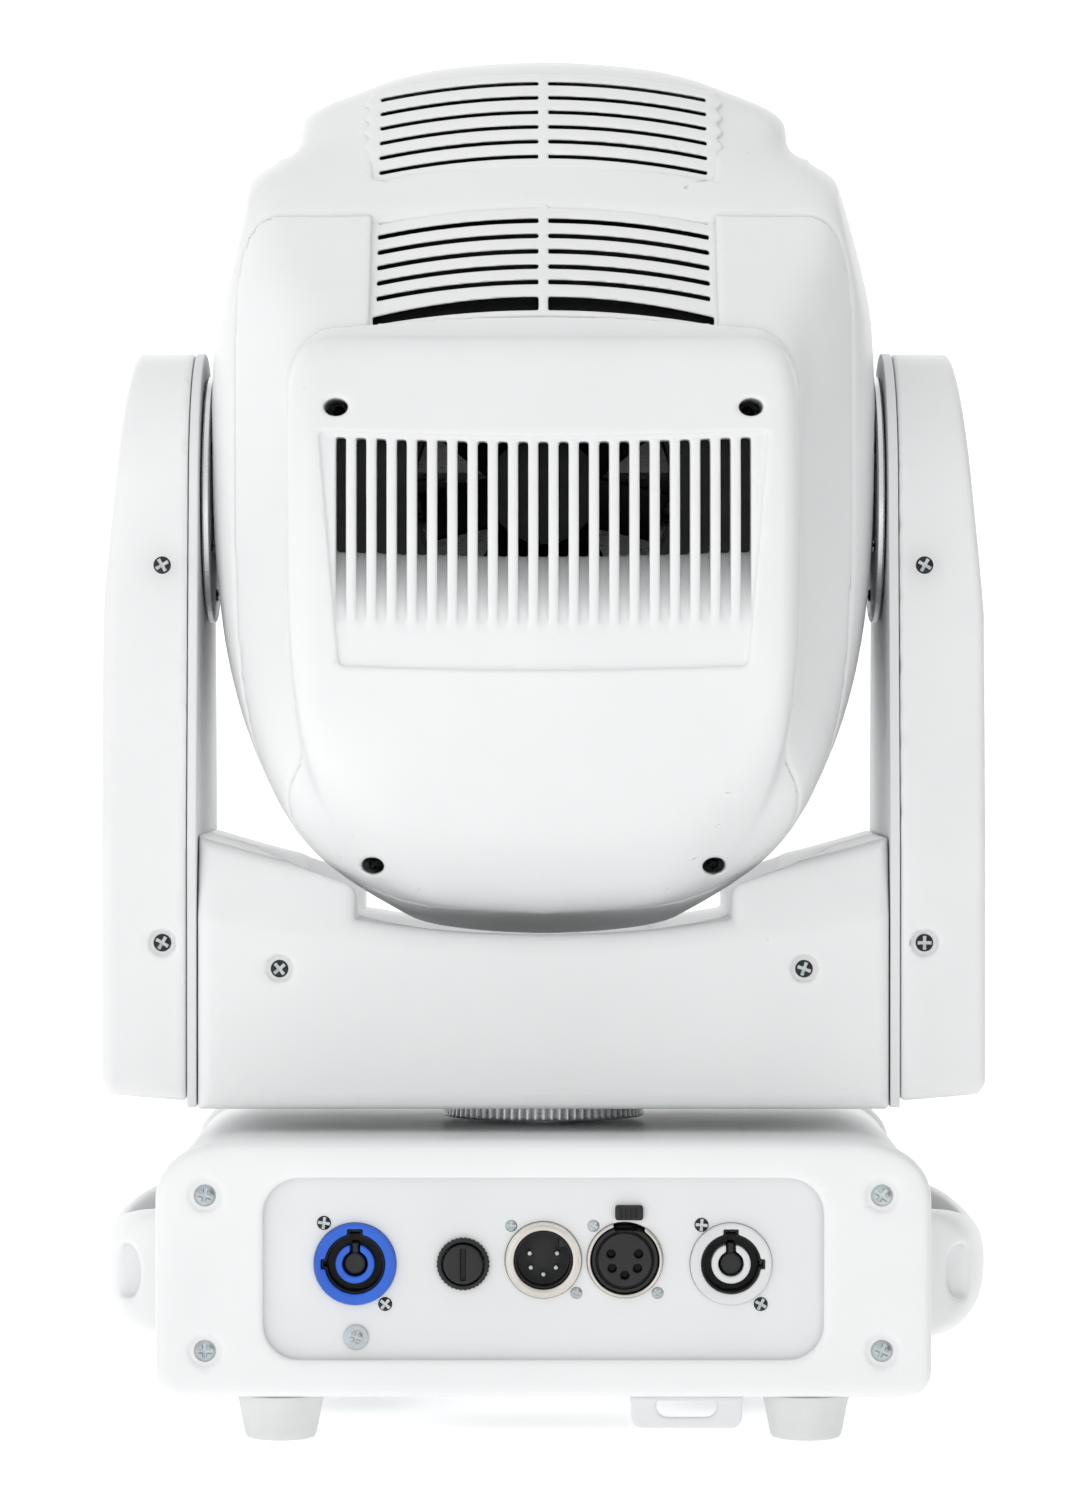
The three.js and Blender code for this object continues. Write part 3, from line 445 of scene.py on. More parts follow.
def build_handles():
    for side, word in ((-1, "left"), (1, "right")):
        low, high = node_mm(f"handle_{word}")
        block = Block(low - 2, high + 2, 0.9)
        inner_x = high[0] if side < 0 else low[0]
        u = side * (block.x - inner_x)
        cz = (low[2] + high[2]) / 2
        half_h, reach, half_l = (high[2] - low[2]) / 2, high[0] - low[0], high[1]

        def ellipse(a, b, ra, rb):
            q = np.sqrt((a / ra) ** 2 + (b / rb) ** 2)
            return (q - 1) * min(ra, rb)

        arch = ellipse(u, block.y, reach, half_l)
        opening = ellipse(u, block.y, 17.5, 50)
        section = ellipse(u, block.z - cz, reach, half_h)
        body = smax(smax(arch, section, 5), -opening, 4)
        body = smax(body, np.abs(block.z - cz) - half_h, 2)
        pad = block.along_x(rounded_rect(-half_l, half_l, low[2], high[2], 12))
        pad = smax(pad, np.abs(u - 1.25) - 1.25, 1.5)
        field = np.maximum(smin(body, pad, 3), -u)
        for y0 in (-52, 52):
            dimple = smax(ellipse(block.y - y0, block.z - cz, 200, 9), ellipse(u - 13.5, block.z - cz, 4.2, 8.6), 1)
            dimple = smax(dimple, 10 - np.sign(y0) * (block.y - y0 * 0.72), 1)
            field = smax(field, -dimple, 1.2)
        block.surface(f"handle_{word}", field, "base", "white_shell", [f"handle_{word}"])


build_base()
build_handles()


# ---- yoke ----
# Largest radius of the head about the tilt axis, by distance from the middle.
SWEEP = [(0, 144.5), (36, 142.5), (48, 138), (59, 132.5), (78, 124.5), (93, 109), (105.5, 66), (125, 20)]
HEAD_CLEAR = 2.5
YOKE_HALF_D = -YOKE_LOW[1]
YOKE_SCREW_X = (-83.0, 82.0)
YOKE_SCREW_Z = 142.4
YOKE_WALL = 3.0
ARM_HALF_D = ARM_HIGH[1]
ARM_SCREW_X = 120.0
ARM_SCREW_Z = (150.5, 269.4)
ARM_WALL = 2.6
SCREW_SEAT_R = 4.0
PAN_RING_ROOM = 35.5


def sweep_distance(block, tilt_z, grow=0.0):
    """Distance to the round space that the turning head needs."""
    xs, rs = zip(*SWEEP)
    radius = np.interp(np.abs(block.x), xs, rs)
    return (np.sqrt(block.y ** 2 + (block.z - tilt_z) ** 2) - radius - grow) * 0.92


def yoke_outline():
    """Rear outline of the yoke between the arms: a trough with a step up to a sloping shoulder."""
    w, z0, z1 = YOKE_HIGH[0], YOKE_LOW[2], YOKE_HIGH[2]
    floor = spline([(0, 153), (22, 153.6), (42, 155.4), (59, 158)], 5)
    shoulder = spline([(59, 172.4), (70, 173.8), (88, 178), (w, z1)], 5)
    return mirrored([(0, z0), (w, z0)] + shoulder[::-1] + floor[::-1][:-1] + [(0, 153)])


def build_yoke_covers():
    crease = spline([(0, 145.5), (59, 150.7), (100, 157), (112, 159)], 6)
    crease_x, crease_z = zip(*crease)
    for sign, name in ((-1, "yoke_cover_rear"), (1, "yoke_cover_front")):
        low, high = node_mm(name)
        block = Block(low - 2, high + 2, 1.0)
        outline = block.along_y(yoke_outline())
        crease_height = np.interp(np.abs(block.x), crease_x, crease_z)
        lean = np.maximum(block.z - crease_height, 0) * 0.30
        wall = np.abs(block.y) - 60 + lean
        field = smax(outline, wall, 5.0)
        field = smax(field, -sweep_distance(block, TILT_Z, HEAD_CLEAR), 2.0)
        seam = 0.15 - sign * block.y
        field = smax(field, seam, 0.5)
        field = smax(field, -smax(field + YOKE_WALL, -sign * block.y - 5, 1.0), 0.6)
        ring_room = np.maximum(block.rod_z(0, 0, PAN_RING_ROOM), block.z - 110)
        field = smax(field, -ring_room, 1.0)
        for x in YOKE_SCREW_X:
            seat_r = block.rod_y(x, YOKE_SCREW_Z, SCREW_SEAT_R)
            seat = np.maximum(seat_r, YOKE_HALF_D - 1.2 - np.abs(block.y))
            field = smax(field, -seat, 0.5)
        block.surface(name, field, "yoke", "white_shell", [name])


def arm_side(inset=0.0):
    """Side outline of an arm: straight edges into a round top about the tilt axis."""
    y, z0, r = 58 - inset, YOKE_LOW[2] + inset, ARM_HIGH[2] - TILT_Z - inset
    top = [(r * math.cos(a), TILT_Z + r * math.sin(a)) for a in np.linspace(0.05, math.pi - 0.05, 28)]
    return [(-y, z0), (y, z0), (y, 180)] + top + [(-y, 180)]


def arm_rear(x0, inset=0.0):
    """Outline of an arm seen from the rear: upright, then leaning in, with a rising bottom edge."""
    out, z0, z1 = ARM_HIGH[0] - inset, YOKE_LOW[2] + inset, ARM_HIGH[2] - inset
    lean = spline([(out, 250), (out - 0.6, 262), (out - 5.0, 310), (out - 7.6, z1 - 6), (out - 9, z1)], 5)
    return [(x0, z0), (out - 2.5, z0 + 4.5), (out, z0 + 8)] + lean + [(x0, z1)]


def build_arms():
    for side, word in ((-1, "left"), (1, "right")):
        name = f"arm_cover_{word}"
        low, high = node_mm(name)
        block = Block(low - 2, high + 2, 1.0)
        u = side * block.x
        inner = ARM_LOW[0]
        rear = outline_distance(u, block.z, arm_rear(inner - 30))
        field = smax(block.along_x(arm_side()), rear, 3.6)
        field = smax(field, inner - u, 0.6)
        field = smax(field, -smax(field + ARM_WALL, -u + inner - 6, 1.0), 0.6)
        for z in ARM_SCREW_Z:
            seat_r = np.sqrt((u - ARM_SCREW_X) ** 2 + (block.z - z) ** 2) - SCREW_SEAT_R
            field = smax(field, -np.maximum(seat_r, 56.8 - np.abs(block.y)), 0.5)
        block.surface(name, field, "yoke", "white_shell", [name])


build_yoke_covers()
build_arms()


# ---- head ----
# Outlines relative to the tilt axis. The rear outline and the side profile are those of the closed shell.
DRUM = mirrored(spline([
    (0, -141.5), (20, -140.8), (36.5, -138), (48, -131.5), (64, -121), (76, -109), (86.5, -91), (95.5, -70),
    (102, -46), (105.8, -20), (107.6, 8), (107.4, 36), (105.2, 62), (101, 84), (95, 99), (86, 106), (76, 108.5),
    (0, 110)], 5))
BACK_HEIGHT = spline([
    (-150, -40), (-139, -22), (-130, -48), (-112, -72), (-80, -86), (-40, -90), (10, -90), (50, -84),
    (75, -67.5), (99, -50), (117, -39), (131, -28), (139, -17.5), (144.5, 0)], 5)
BLOCK_PROFILE = spline([
    (-142, -30), (-137, -47), (-130, -62), (-120.5, -76), (-107, -88), (-85, -98.5), (-55, -106), (-20, -108),
    (10, -107), (36, -103.2), (60, -98)], 5)
BLOCK = mirrored(spline([
    (0, -133), (28, -131), (46, -126.5), (58.5, -118.5), (66.5, -106), (72, -89), (76.2, -68), (78.4, -45),
    (79, -15), (79, 20), (78.4, 33), (75, 42), (67, 46.6), (52, 47)], 5) + [(0, 47)])
PLAN = spline([(114, 40), (113.5, -5), (111, -32), (105, -48), (97, -59), (89, -70), (81, -81), (72, -96)], 5)
FRONT = spline([(98, 80), (104.5, 64), (113, 46), (128, 22), (144, 0), (165, -40)], 5)
BACK_Z, BACK_Y = (np.array(v) for v in zip(*BACK_HEIGHT))
SHELL_SEAM = -58.0
HOOD_HALF_W = 78.0
HEAD_WALL = 3.2
COVER_WALL = 3.0
SHAFT_HOLE_R = 12.4
HUB_SEAT_R = 40.8
HUB_SEAT_X = 105.6
SLOT_DROP = 5.4 / 52 ** 2


def cover_seam(z):
    """Where the rear cover meets the shell: an upright plane that runs forwards under the head."""
    part = np.clip((-76 - z) / 52, 0, 1)
    return -84 + 38 * part * part * (3 - 2 * part)


def drop(x):
    """How far the hood's surface lines fall towards its sides."""
    return SLOT_DROP * x ** 2


def head_distance(block, with_block=False):
    x, y, z = block.x, block.y, block.z
    back = np.interp(z, BACK_Z, BACK_Y)
    drum = smax(block.along_y(DRUM), (back - y) * 0.8, 16)
    halves, depths = zip(*PLAN[::-1])
    drum = smax(drum, (np.abs(x) - np.interp(y, depths, halves)) * 0.85, 12)
    profile = [(b, a) for a, b in BACK_HEIGHT if a > -62]
    profile += [(14, 143.6), (27, 140), (60, 122), (80, 104), (80, -60), (-30, -60)]
    side = outline_distance(y, z + drop(x), profile)
    hood = smax(side, np.abs(x) - HOOD_HALF_W, 9)
    hood = smax(hood, 25 - z, 12)
    body = smin(drum, hood, 7)
    if with_block:
        cover = smax(block.along_y(BLOCK), (np.interp(z, *zip(*BLOCK_PROFILE)) - y) * 0.9, 9)
        body = smin(body, cover, 3)
    body = smax(body, sweep_distance(block, 0), 5)
    radii, depths = zip(*FRONT[::-1])
    front = np.sqrt(x ** 2 + z ** 2) - np.interp(y, depths, radii)
    return smax(body, front * 0.85, 10)


UPPER_SLOTS = [132 - 5 * i for i in range(6)]
LOWER_SLOTS = [90.5 - 5.1 * i for i in range(6)]
BOTTOM_SLOT = 58.0
VENT_HALF = 52.0


def vent_pocket(block, low, high):
    """The opening in the shell that a vent grille covers."""
    shifted = block.z + drop(block.x)
    middle, half = (low + high) / 2, (high - low) / 2
    pocket = smax(np.abs(shifted - middle) - half, np.abs(block.x) - 54, 2)
    return smax(pocket, block.y + 8, 2)


def build_head_shells():
    low, high = node_mm("head_main_shell")
    low[0], high[0] = -109, 109
    block = Block(low - TILT_AXIS - 2, high - TILT_AXIS + 2, 1.2, TILT_AXIS)
    body = head_distance(block, with_block=True)
    field = smax(body, np.maximum(SHELL_SEAM, cover_seam(block.z)) + GAP - block.y, 1.0)
    field = smax(field, block.y - BEZEL_LOW[1] + GAP, 2.0)
    field = smax(field, -(body + HEAD_WALL), 0.5)
    field = smax(field, -vent_pocket(block, 104.6, 134.4), 0.6)
    field = smax(field, -block.rod_x(0, 0, SHAFT_HOLE_R), 0.8)
    hub_seat = smax(block.rod_x(0, 0, HUB_SEAT_R), HUB_SEAT_X - np.abs(block.x), 0.4)
    field = smax(field, -hub_seat, 0.6)
    block.surface("head_main_shell", field, "head", "white_shell", ["head_main_shell"], 0.012)

    low, high = node_mm("head_rear_shell")
    low, high = low - (8, 6, 6), high + (8, 0, 4)
    block = Block(low - TILT_AXIS - 2, high - TILT_AXIS + 2, 1.1, TILT_AXIS)
    body = head_distance(block, with_block=True)
    field = smax(body, block.y - SHELL_SEAM, 1.0)
    field = smax(field, cover_seam(block.z) + GAP - block.y, 0.8)
    field = smax(field, -(body + HEAD_WALL), 0.5)
    field = smax(field, -vent_pocket(block, 54.6, 93), 0.6)
    window = block.box((-60, -200, -100), (60, -60, 30), 6)
    field = smax(field, -window, 0.8)
    block.surface("head_rear_shell", field, "head", "white_shell", ["head_rear_shell"])


build_head_shells()


GRILLE_PITCH = 6.2
GRILLE_GAPS = 21
GRILLE_GAP = 3.1
GRILLE_TOP = 15.6
GRILLE_BOTTOM = -56.0
GRILLE_BACK = -93.4
RAMP_TOP = -20.5
COVER_SCREWS = [(-63.6, 24.6), (63.6, 24.6), (-53.5, -117.0), (53.5, -117.0)]
WELL_R = 3.7
WELL_SQUASH = 1.35


def build_rear_cover():
    """The protruding fan cover: a recessed grille, whose gaps run out on a rising floor, and screw wells."""
    block = Block((-82, -111, -142), (82, -44, 53), 0.62, TILT_AXIS)
    x, y, z = block.x, block.y, block.z
    body = head_distance(block, with_block=True)
    field = smax(body, y - cover_seam(z), 0.6)
    field = smax(field, -(body + COVER_WALL), 0.4)
    middle = (GRILLE_TOP + GRILLE_BOTTOM) / 2
    half = (GRILLE_TOP - GRILLE_BOTTOM) / 2
    sag = 1.5 * (x / 65) ** 2
    upright = np.abs(z - sag - middle) - half
    frame_side = np.abs(x) - 68.6 + (GRILLE_TOP - z) * 0.085
    slab = np.maximum(np.abs(x) - 70, np.abs(z - middle) - half - 2)
    slab = np.maximum(slab, np.maximum(y - GRILLE_BACK, body + 0.3))
    field = smin(field, slab, 0.5)
    recess = smax(smax(frame_side, upright, 2.0), -(body + 1.3), 0.3)
    field = smax(field, -recess, 1.1)
    phase = ((x / GRILLE_PITCH + 0.5) % 1.0 - 0.5) * GRILLE_PITCH
    rows = np.abs(x) - GRILLE_GAPS * GRILLE_PITCH / 2
    gap = np.maximum(np.abs(phase) - GRILLE_GAP / 2, rows)
    ramp = GRILLE_BACK - 15.0 * np.clip((RAMP_TOP + sag - z) / 29.0, 0, 1.05) ** 0.75
    over_ramp = smax(gap, np.maximum((y - ramp) * 0.8, z - GRILLE_TOP + 1.6 - sag), 0.7)
    through = np.maximum(gap, np.maximum(z - GRILLE_TOP + 1.6 - sag, RAMP_TOP + sag - z))
    field = smax(field, -np.minimum(over_ramp, through), 0.7)
    for sx, sz in COVER_SCREWS:
        well = np.sqrt((x - sx) ** 2 + (WELL_SQUASH * (z - sz)) ** 2)
        tube = np.maximum(np.maximum(well - WELL_R - 2, y - (-72 if sz > 0 else -46)), body + 0.5)
        field = smin(field, tube, 0.5)
        field = smax(field, -(well - WELL_R), 1.4)
    block.surface("head_rear_cover", field, "head", "white_shell", ["head_rear_cover"])


def build_vent(name, slots, slot_height, low, high, extra=None):
    """A raised frame of arched slots with a bar down its middle and small teeth down its sides."""
    y0, y1 = (float(np.interp(z, BACK_Z, BACK_Y)) for z in (low - 8, high + 2))
    block = Block((-60, y0 - 4, low - 9), (60, y1 + 4, high + 3), 0.6, TILT_AXIS)
    x, y = block.x, block.y
    h = block.z + drop(x)
    back = np.interp(h, BACK_Z, BACK_Y)
    slope = np.interp(h, BACK_Z[:-1], np.diff(BACK_Y) / np.maximum(np.diff(BACK_Z), 1e-3))
    off = (back - y) / np.sqrt(1 + slope ** 2)
    field = smax(np.abs(off - 0.1) - 1.3, np.abs(h - (low + high) / 2) - (high - low) / 2, 1.2)
    toothed = 56.4 + 0.9 * np.cos((h - slots[0]) / (slots[0] - slots[1]) * 2 * math.pi)
    field = smax(field, np.abs(x) - toothed, 1.2)
    for slot in slots:
        cut = np.maximum(np.abs(h - slot) - slot_height / 2, np.abs(x) - VENT_HALF)
        cut = np.maximum(cut, 1.5 - np.abs(x))
        field = smax(field, -cut, 0.5)
    if extra:
        taper = np.abs(h - extra) - 2.2 + (x / VENT_HALF) ** 2 * 0.9
        field = smax(field, -np.maximum(np.maximum(taper, np.abs(x) - VENT_HALF - 1), 1.5 - np.abs(x)), 0.5)
    block.surface(name, field, "head", "white_shell")


build_rear_cover()
build_vent("upper_vent_grille", UPPER_SLOTS, 1.25, 102.8, 135.6)
build_vent("lower_vent_grille", LOWER_SLOTS, 1.5, 53.6, 94.2, BOTTOM_SLOT)


# ---- turned and extruded pieces ----
def turned_shape(profile, axis="Y", segments=64, closed=False):
    """Points in mm and outward faces of a (radius, height) profile turned about an axis."""
    turn = {"X": lambda r, a, h: (h, r * math.cos(a), r * math.sin(a)),
            "Y": lambda r, a, h: (r * math.sin(a), h, r * math.cos(a)),
            "Z": lambda r, a, h: (r * math.cos(a), r * math.sin(a), h)}[axis]
    bm = bmesh.new()
    rings = []
    for r, h in profile:
        count = segments if r > 1e-6 else 1
        rings.append([bm.verts.new(turn(r, 2 * math.pi * i / segments, h)) for i in range(count)])
    pairs = list(zip(rings, rings[1:]))
    if closed:
        pairs.append((rings[-1], rings[0]))
    for a, b in pairs:
        for i in range(segments):
            k = (i + 1) % segments
            corners = dict.fromkeys([a[i % len(a)], a[k % len(a)], b[k % len(b)], b[i % len(b)]])
            if len(corners) > 2:
                bm.faces.new(list(corners))
    bmesh.ops.recalc_face_normals(bm, faces=bm.faces)
    bm.verts.index_update()
    points = np.array([v.co for v in bm.verts])
    faces = [tuple(v.index for v in face.verts) for face in bm.faces]
    bm.free()
    return points, faces


def lathe(name, profile, body, slot, axis="Y", centre=(0, 0, 0), replaces=(), segments=64, closed=False):
    """A turned piece. A profile that starts and ends on the axis is solid, and a closed one is a ring."""
    points, faces = turned_shape(profile, axis, segments, closed)
    mesh = bpy.data.meshes.new(name)
    mesh.from_pydata(((points + centre) * MM).tolist(), [], faces)
    obj = finish_piece(name, mesh, body, slot, replaces)
    mesh.set_sharp_from_angle(angle=math.radians(40))
    return obj


def plate(name, outline, axis, d0, d1, body, slot, replaces=(), holes=(), bevel=0.6):
    """A flat outline in mm carried along an axis from d0 to d1, with holes of their own outlines."""
    curve = bpy.data.curves.new(name, "CURVE")
    curve.dimensions = "2D"
    curve.fill_mode = "BOTH"
    curve.extrude = (d1 - d0) / 2 * MM
    for loop in (outline, *holes):
        spline_data = curve.splines.new("POLY")
        spline_data.points.add(len(loop) - 1)
        for point, (u, v) in zip(spline_data.points, loop):
            point.co = (u * MM, v * MM, 0, 1)
        spline_data.use_cyclic_u = True
    temp = bpy.data.objects.new(name, curve)
    mesh = bpy.data.meshes.new_from_object(temp)
    bpy.data.objects.remove(temp)
    bpy.data.curves.remove(curve)
    bm = bmesh.new()
    bm.from_mesh(mesh)
    bmesh.ops.remove_doubles(bm, verts=bm.verts, dist=1e-6)
    bmesh.ops.dissolve_limit(bm, angle_limit=0.01, verts=bm.verts, edges=bm.edges)
    middle = (d0 + d1) / 2 * MM
    place = {"X": Matrix(((0, 0, 1, middle), (1, 0, 0, 0), (0, 1, 0, 0), (0, 0, 0, 1))),
             "Y": Matrix(((1, 0, 0, 0), (0, 0, -1, middle), (0, 1, 0, 0), (0, 0, 0, 1))),
             "Z": Matrix(((1, 0, 0, 0), (0, 1, 0, 0), (0, 0, 1, middle), (0, 0, 0, 1)))}[axis]
    bm.transform(place)
    bmesh.ops.recalc_face_normals(bm, faces=bm.faces)
    bm.to_mesh(mesh)
    bm.free()
    obj = finish_piece(name, mesh, body, slot, replaces)
    return sharpen(obj, 40, bevel) if bevel else obj


def circle(cx, cz, r, steps=40):
    turns = np.linspace(0, 2 * math.pi, steps, endpoint=False)
    return [(cx + r * math.cos(a), cz + r * math.sin(a)) for a in turns]


# ---- fasteners ----
FACING = {"rear": (0, "Z"), "front": (180, "Z"), "right": (90, "Z"), "left": (-90, "Z"), "down": (90, "X")}


def repeated(name, points, faces, placements, body, slot, replaces=()):
    """One piece holding a copy of a small shape at each placement, which is (centre in mm, facing, roll)."""
    all_points, all_faces = [], []
    for centre, facing, roll in placements:
        angle, axis = FACING[facing]
        turn = Matrix.Rotation(math.radians(angle), 3, axis) @ Matrix.Rotation(math.radians(roll), 3, "Y")
        start = len(all_points)
        moved = points @ np.array(turn).T + np.array(centre)
        all_points += (moved * MM).tolist()
        all_faces += [tuple(i + start for i in face) for face in faces]
    mesh = bpy.data.meshes.new(name)
    mesh.from_pydata(all_points, [], all_faces)
    obj = finish_piece(name, mesh, body, slot, replaces)
    mesh.set_sharp_from_angle(angle=math.radians(40))
    return obj


def screws(name, r, placements, body, slot, height=0.42, cross_slot=None, washer=0.0):
    """Cross-head screws. A placement is where the underside of a head meets the surface."""
    step = r / 26
    top = r * height
    block = Block((-r - washer - 2 * step, -top - 3 * step, -r - washer - 2 * step),
                  (r + washer + 2 * step, 3 * step, r + washer + 2 * step), step)
    x, y, z = block.x, block.y, block.z
    radius = np.sqrt(x ** 2 + z ** 2)
    dome = np.sqrt(radius ** 2 + (y - r * 0.55) ** 2) - (top + r * 0.55)
    head = smax(smax(dome, radius - r, r * 0.12), y - step, 0.1)
    if washer:
        head = smin(head, smax(np.abs(y + 0.35) - 0.35, radius - r - washer, 0.2), 0.15)
    arms = np.minimum(np.maximum(np.abs(x) - 0.15 * r, np.abs(z) - 0.62 * r),
                      np.maximum(np.abs(z) - 0.15 * r, np.abs(x) - 0.62 * r))
    depth = y + top * 0.30 + radius * 0.45 * height
    head = smax(head, -smax(arms, depth, 0.06 * r), 0.05 * r)
    points, faces = block.polygons(head)
    repeated(name, points, faces, placements, body, slot)
    if cross_slot:
        lining = np.maximum(arms - 0.01 * r, np.abs(depth + 0.04 * r) - 0.06 * r)
        points, faces = block.polygons(lining)
        repeated(name + "_recesses", points, faces, placements, body, cross_slot)


def build_screws():
    cap_places = [((x, REAR_Y + 1.0, z), "rear", 12 * i) for i, (x, z) in enumerate(CAP_SCREWS)]
    cap_places += [((x, FRONT_HIGH[1] - 1.0, z), "front", 31 * i) for i, (x, z) in enumerate(CAP_SCREWS)]
    screws("cap_screws", 4.3, cap_places, "base", "zinc_steel")
    yoke_places = []
    for facing, sign in (("rear", -1), ("front", 1)):
        yoke_places += [((x, sign * (YOKE_HALF_D - 1.0), 142.4), facing, 20 * x) for x in YOKE_SCREW_X]
        yoke_places += [((x, sign * (ARM_HALF_D - 1.0), z), facing, x + z) for x in (-ARM_SCREW_X, ARM_SCREW_X)
                        for z in ARM_SCREW_Z]
    screws("yoke_screws", 3.5, yoke_places, "yoke", "black_plastic", cross_slot="zinc_steel")
    power = [((-67.0, PANEL_Y, 67.2), "rear", 8), ((-48.3, PANEL_Y, 42.4), "rear", 40),
             ((48.3, PANEL_Y, 66.6), "rear", 5), ((66.4, PANEL_Y, 42.4), "rear", 28)]
    screws("power_connector_screws", 2.9, power, "base", "black_plastic", 0.38, "zinc_steel")
    data = [((x, PANEL_Y, z), "rear", 17 * i) for i, (x, z) in
            enumerate([(-9.8, 66.3), (10.1, 45.8), (15.3, 66.3), (34.9, 45.8)])]
    screws("data_connector_screws", 2.5, data, "base", "zinc_steel", 0.38)
    screws("earth_screw", 3.1, [((-57.2, PANEL_Y, 32.3), "rear", 20)], "base", "zinc_steel", 0.5, washer=0.7)
    wells = [((x, -74.0 if z > 0 else -48.0, TILT_Z + z), "rear", x) for x, z in COVER_SCREWS]
    screws("rear_cover_screws", 2.4, wells, "head", "black_plastic", 0.4)
    hub = []
    for side, facing in ((-1, "right"), (1, "left")):
        for i in range(6):
            a = math.radians(30 + 60 * i)
            hub.append(((side * 106.2, 31 * math.cos(a), TILT_Z + 31 * math.sin(a)), facing, 40 * i))
    screws("hub_screws", 3.2, hub, "head", "black_plastic", 0.3, "zinc_steel")
    under = [((x, y, 15.2), "down", x + y) for x in (-98, 0, 98) for y in (-86, 86)]
    screws("bottom_plate_screws", 3.2, under, "base", "zinc_steel")


# ---- connector side ----
def middle_mm(name):
    low, high = node_mm(name)
    return (low + high) / 2


def small_block(name, reach, depth, step=0.3):
    """A fine block round a connector, from just proud of it to depth mm behind its lip."""
    cx, _, cz = middle_mm(name)
    lip = node_mm(name)[0][1]
    block = Block((cx - reach, lip - 1.2, cz - reach), (cx + reach, lip + depth, cz + reach), step)
    return block, block.x - cx, block.z - cz, lip


def build_power_connector(name, slot, key_x):
    """A twist-lock socket: a keyed cup, a C-shaped post and a dark contact insert, with a black liner on the cup's
    wall that is painted shade.
    """
    block, u, v, lip = small_block(name, 13.4, 13.5)
    y = block.y
    radius = np.sqrt(u ** 2 + v ** 2)
    body = smax(radius - 12.5, np.abs(y - lip - 6.5) - 6.5, 0.9)
    key_top = np.maximum(np.abs(u) - 2.3, np.abs(v - 8) - 2.6)
    key_side = np.maximum(np.abs(v) - 1.5, np.abs(u - key_x * 8) - 2.4)
    cavity = smin(smin(radius - 9.2, key_top, 0.3), key_side, 0.3)
    field = smax(body, -np.maximum(cavity, y - lip - 10.5), 0.6)
    post = smax(np.maximum(radius - 6.0, 3.9 - radius), np.maximum(lip + 0.9 - y, y - lip - 12), 0.5)
    post = smax(post, -np.maximum(np.abs(u) - 1.5, -v), 0.5)
    block.surface(name, smin(field, post, 0.2), "base", slot, [name])
    # The black liner on the cup's wall is painted shade: it stands in for the deep shadow inside the cup.
    shade_liner = np.maximum(cavity + 0.15, -(cavity + 0.65))
    shade_liner = np.maximum(shade_liner, np.maximum(lip + 1.5 - y, y - lip - 10))
    floor = np.maximum(radius - 9.0, np.abs(y - lip - 9.6) - 0.6)
    pin = smax(radius - 3.3, lip + 2.4 - y, 0.6)
    fin = smax(smax(np.abs(u) - 1.1, np.abs(v - 3) - 3.4, 0.3), lip + 3.0 - y, 0.4)
    pin = np.maximum(smin(pin, fin, 0.3), y - lip - 10)
    ring = np.maximum(np.maximum(3.75 - radius, radius - 3.4), lip + 3 - y)
    dark = np.minimum(np.minimum(np.minimum(shade_liner, floor), pin), ring)
    block.surface(f"{name}_contacts_and_shade_liner", dark, "base", "black_plastic")


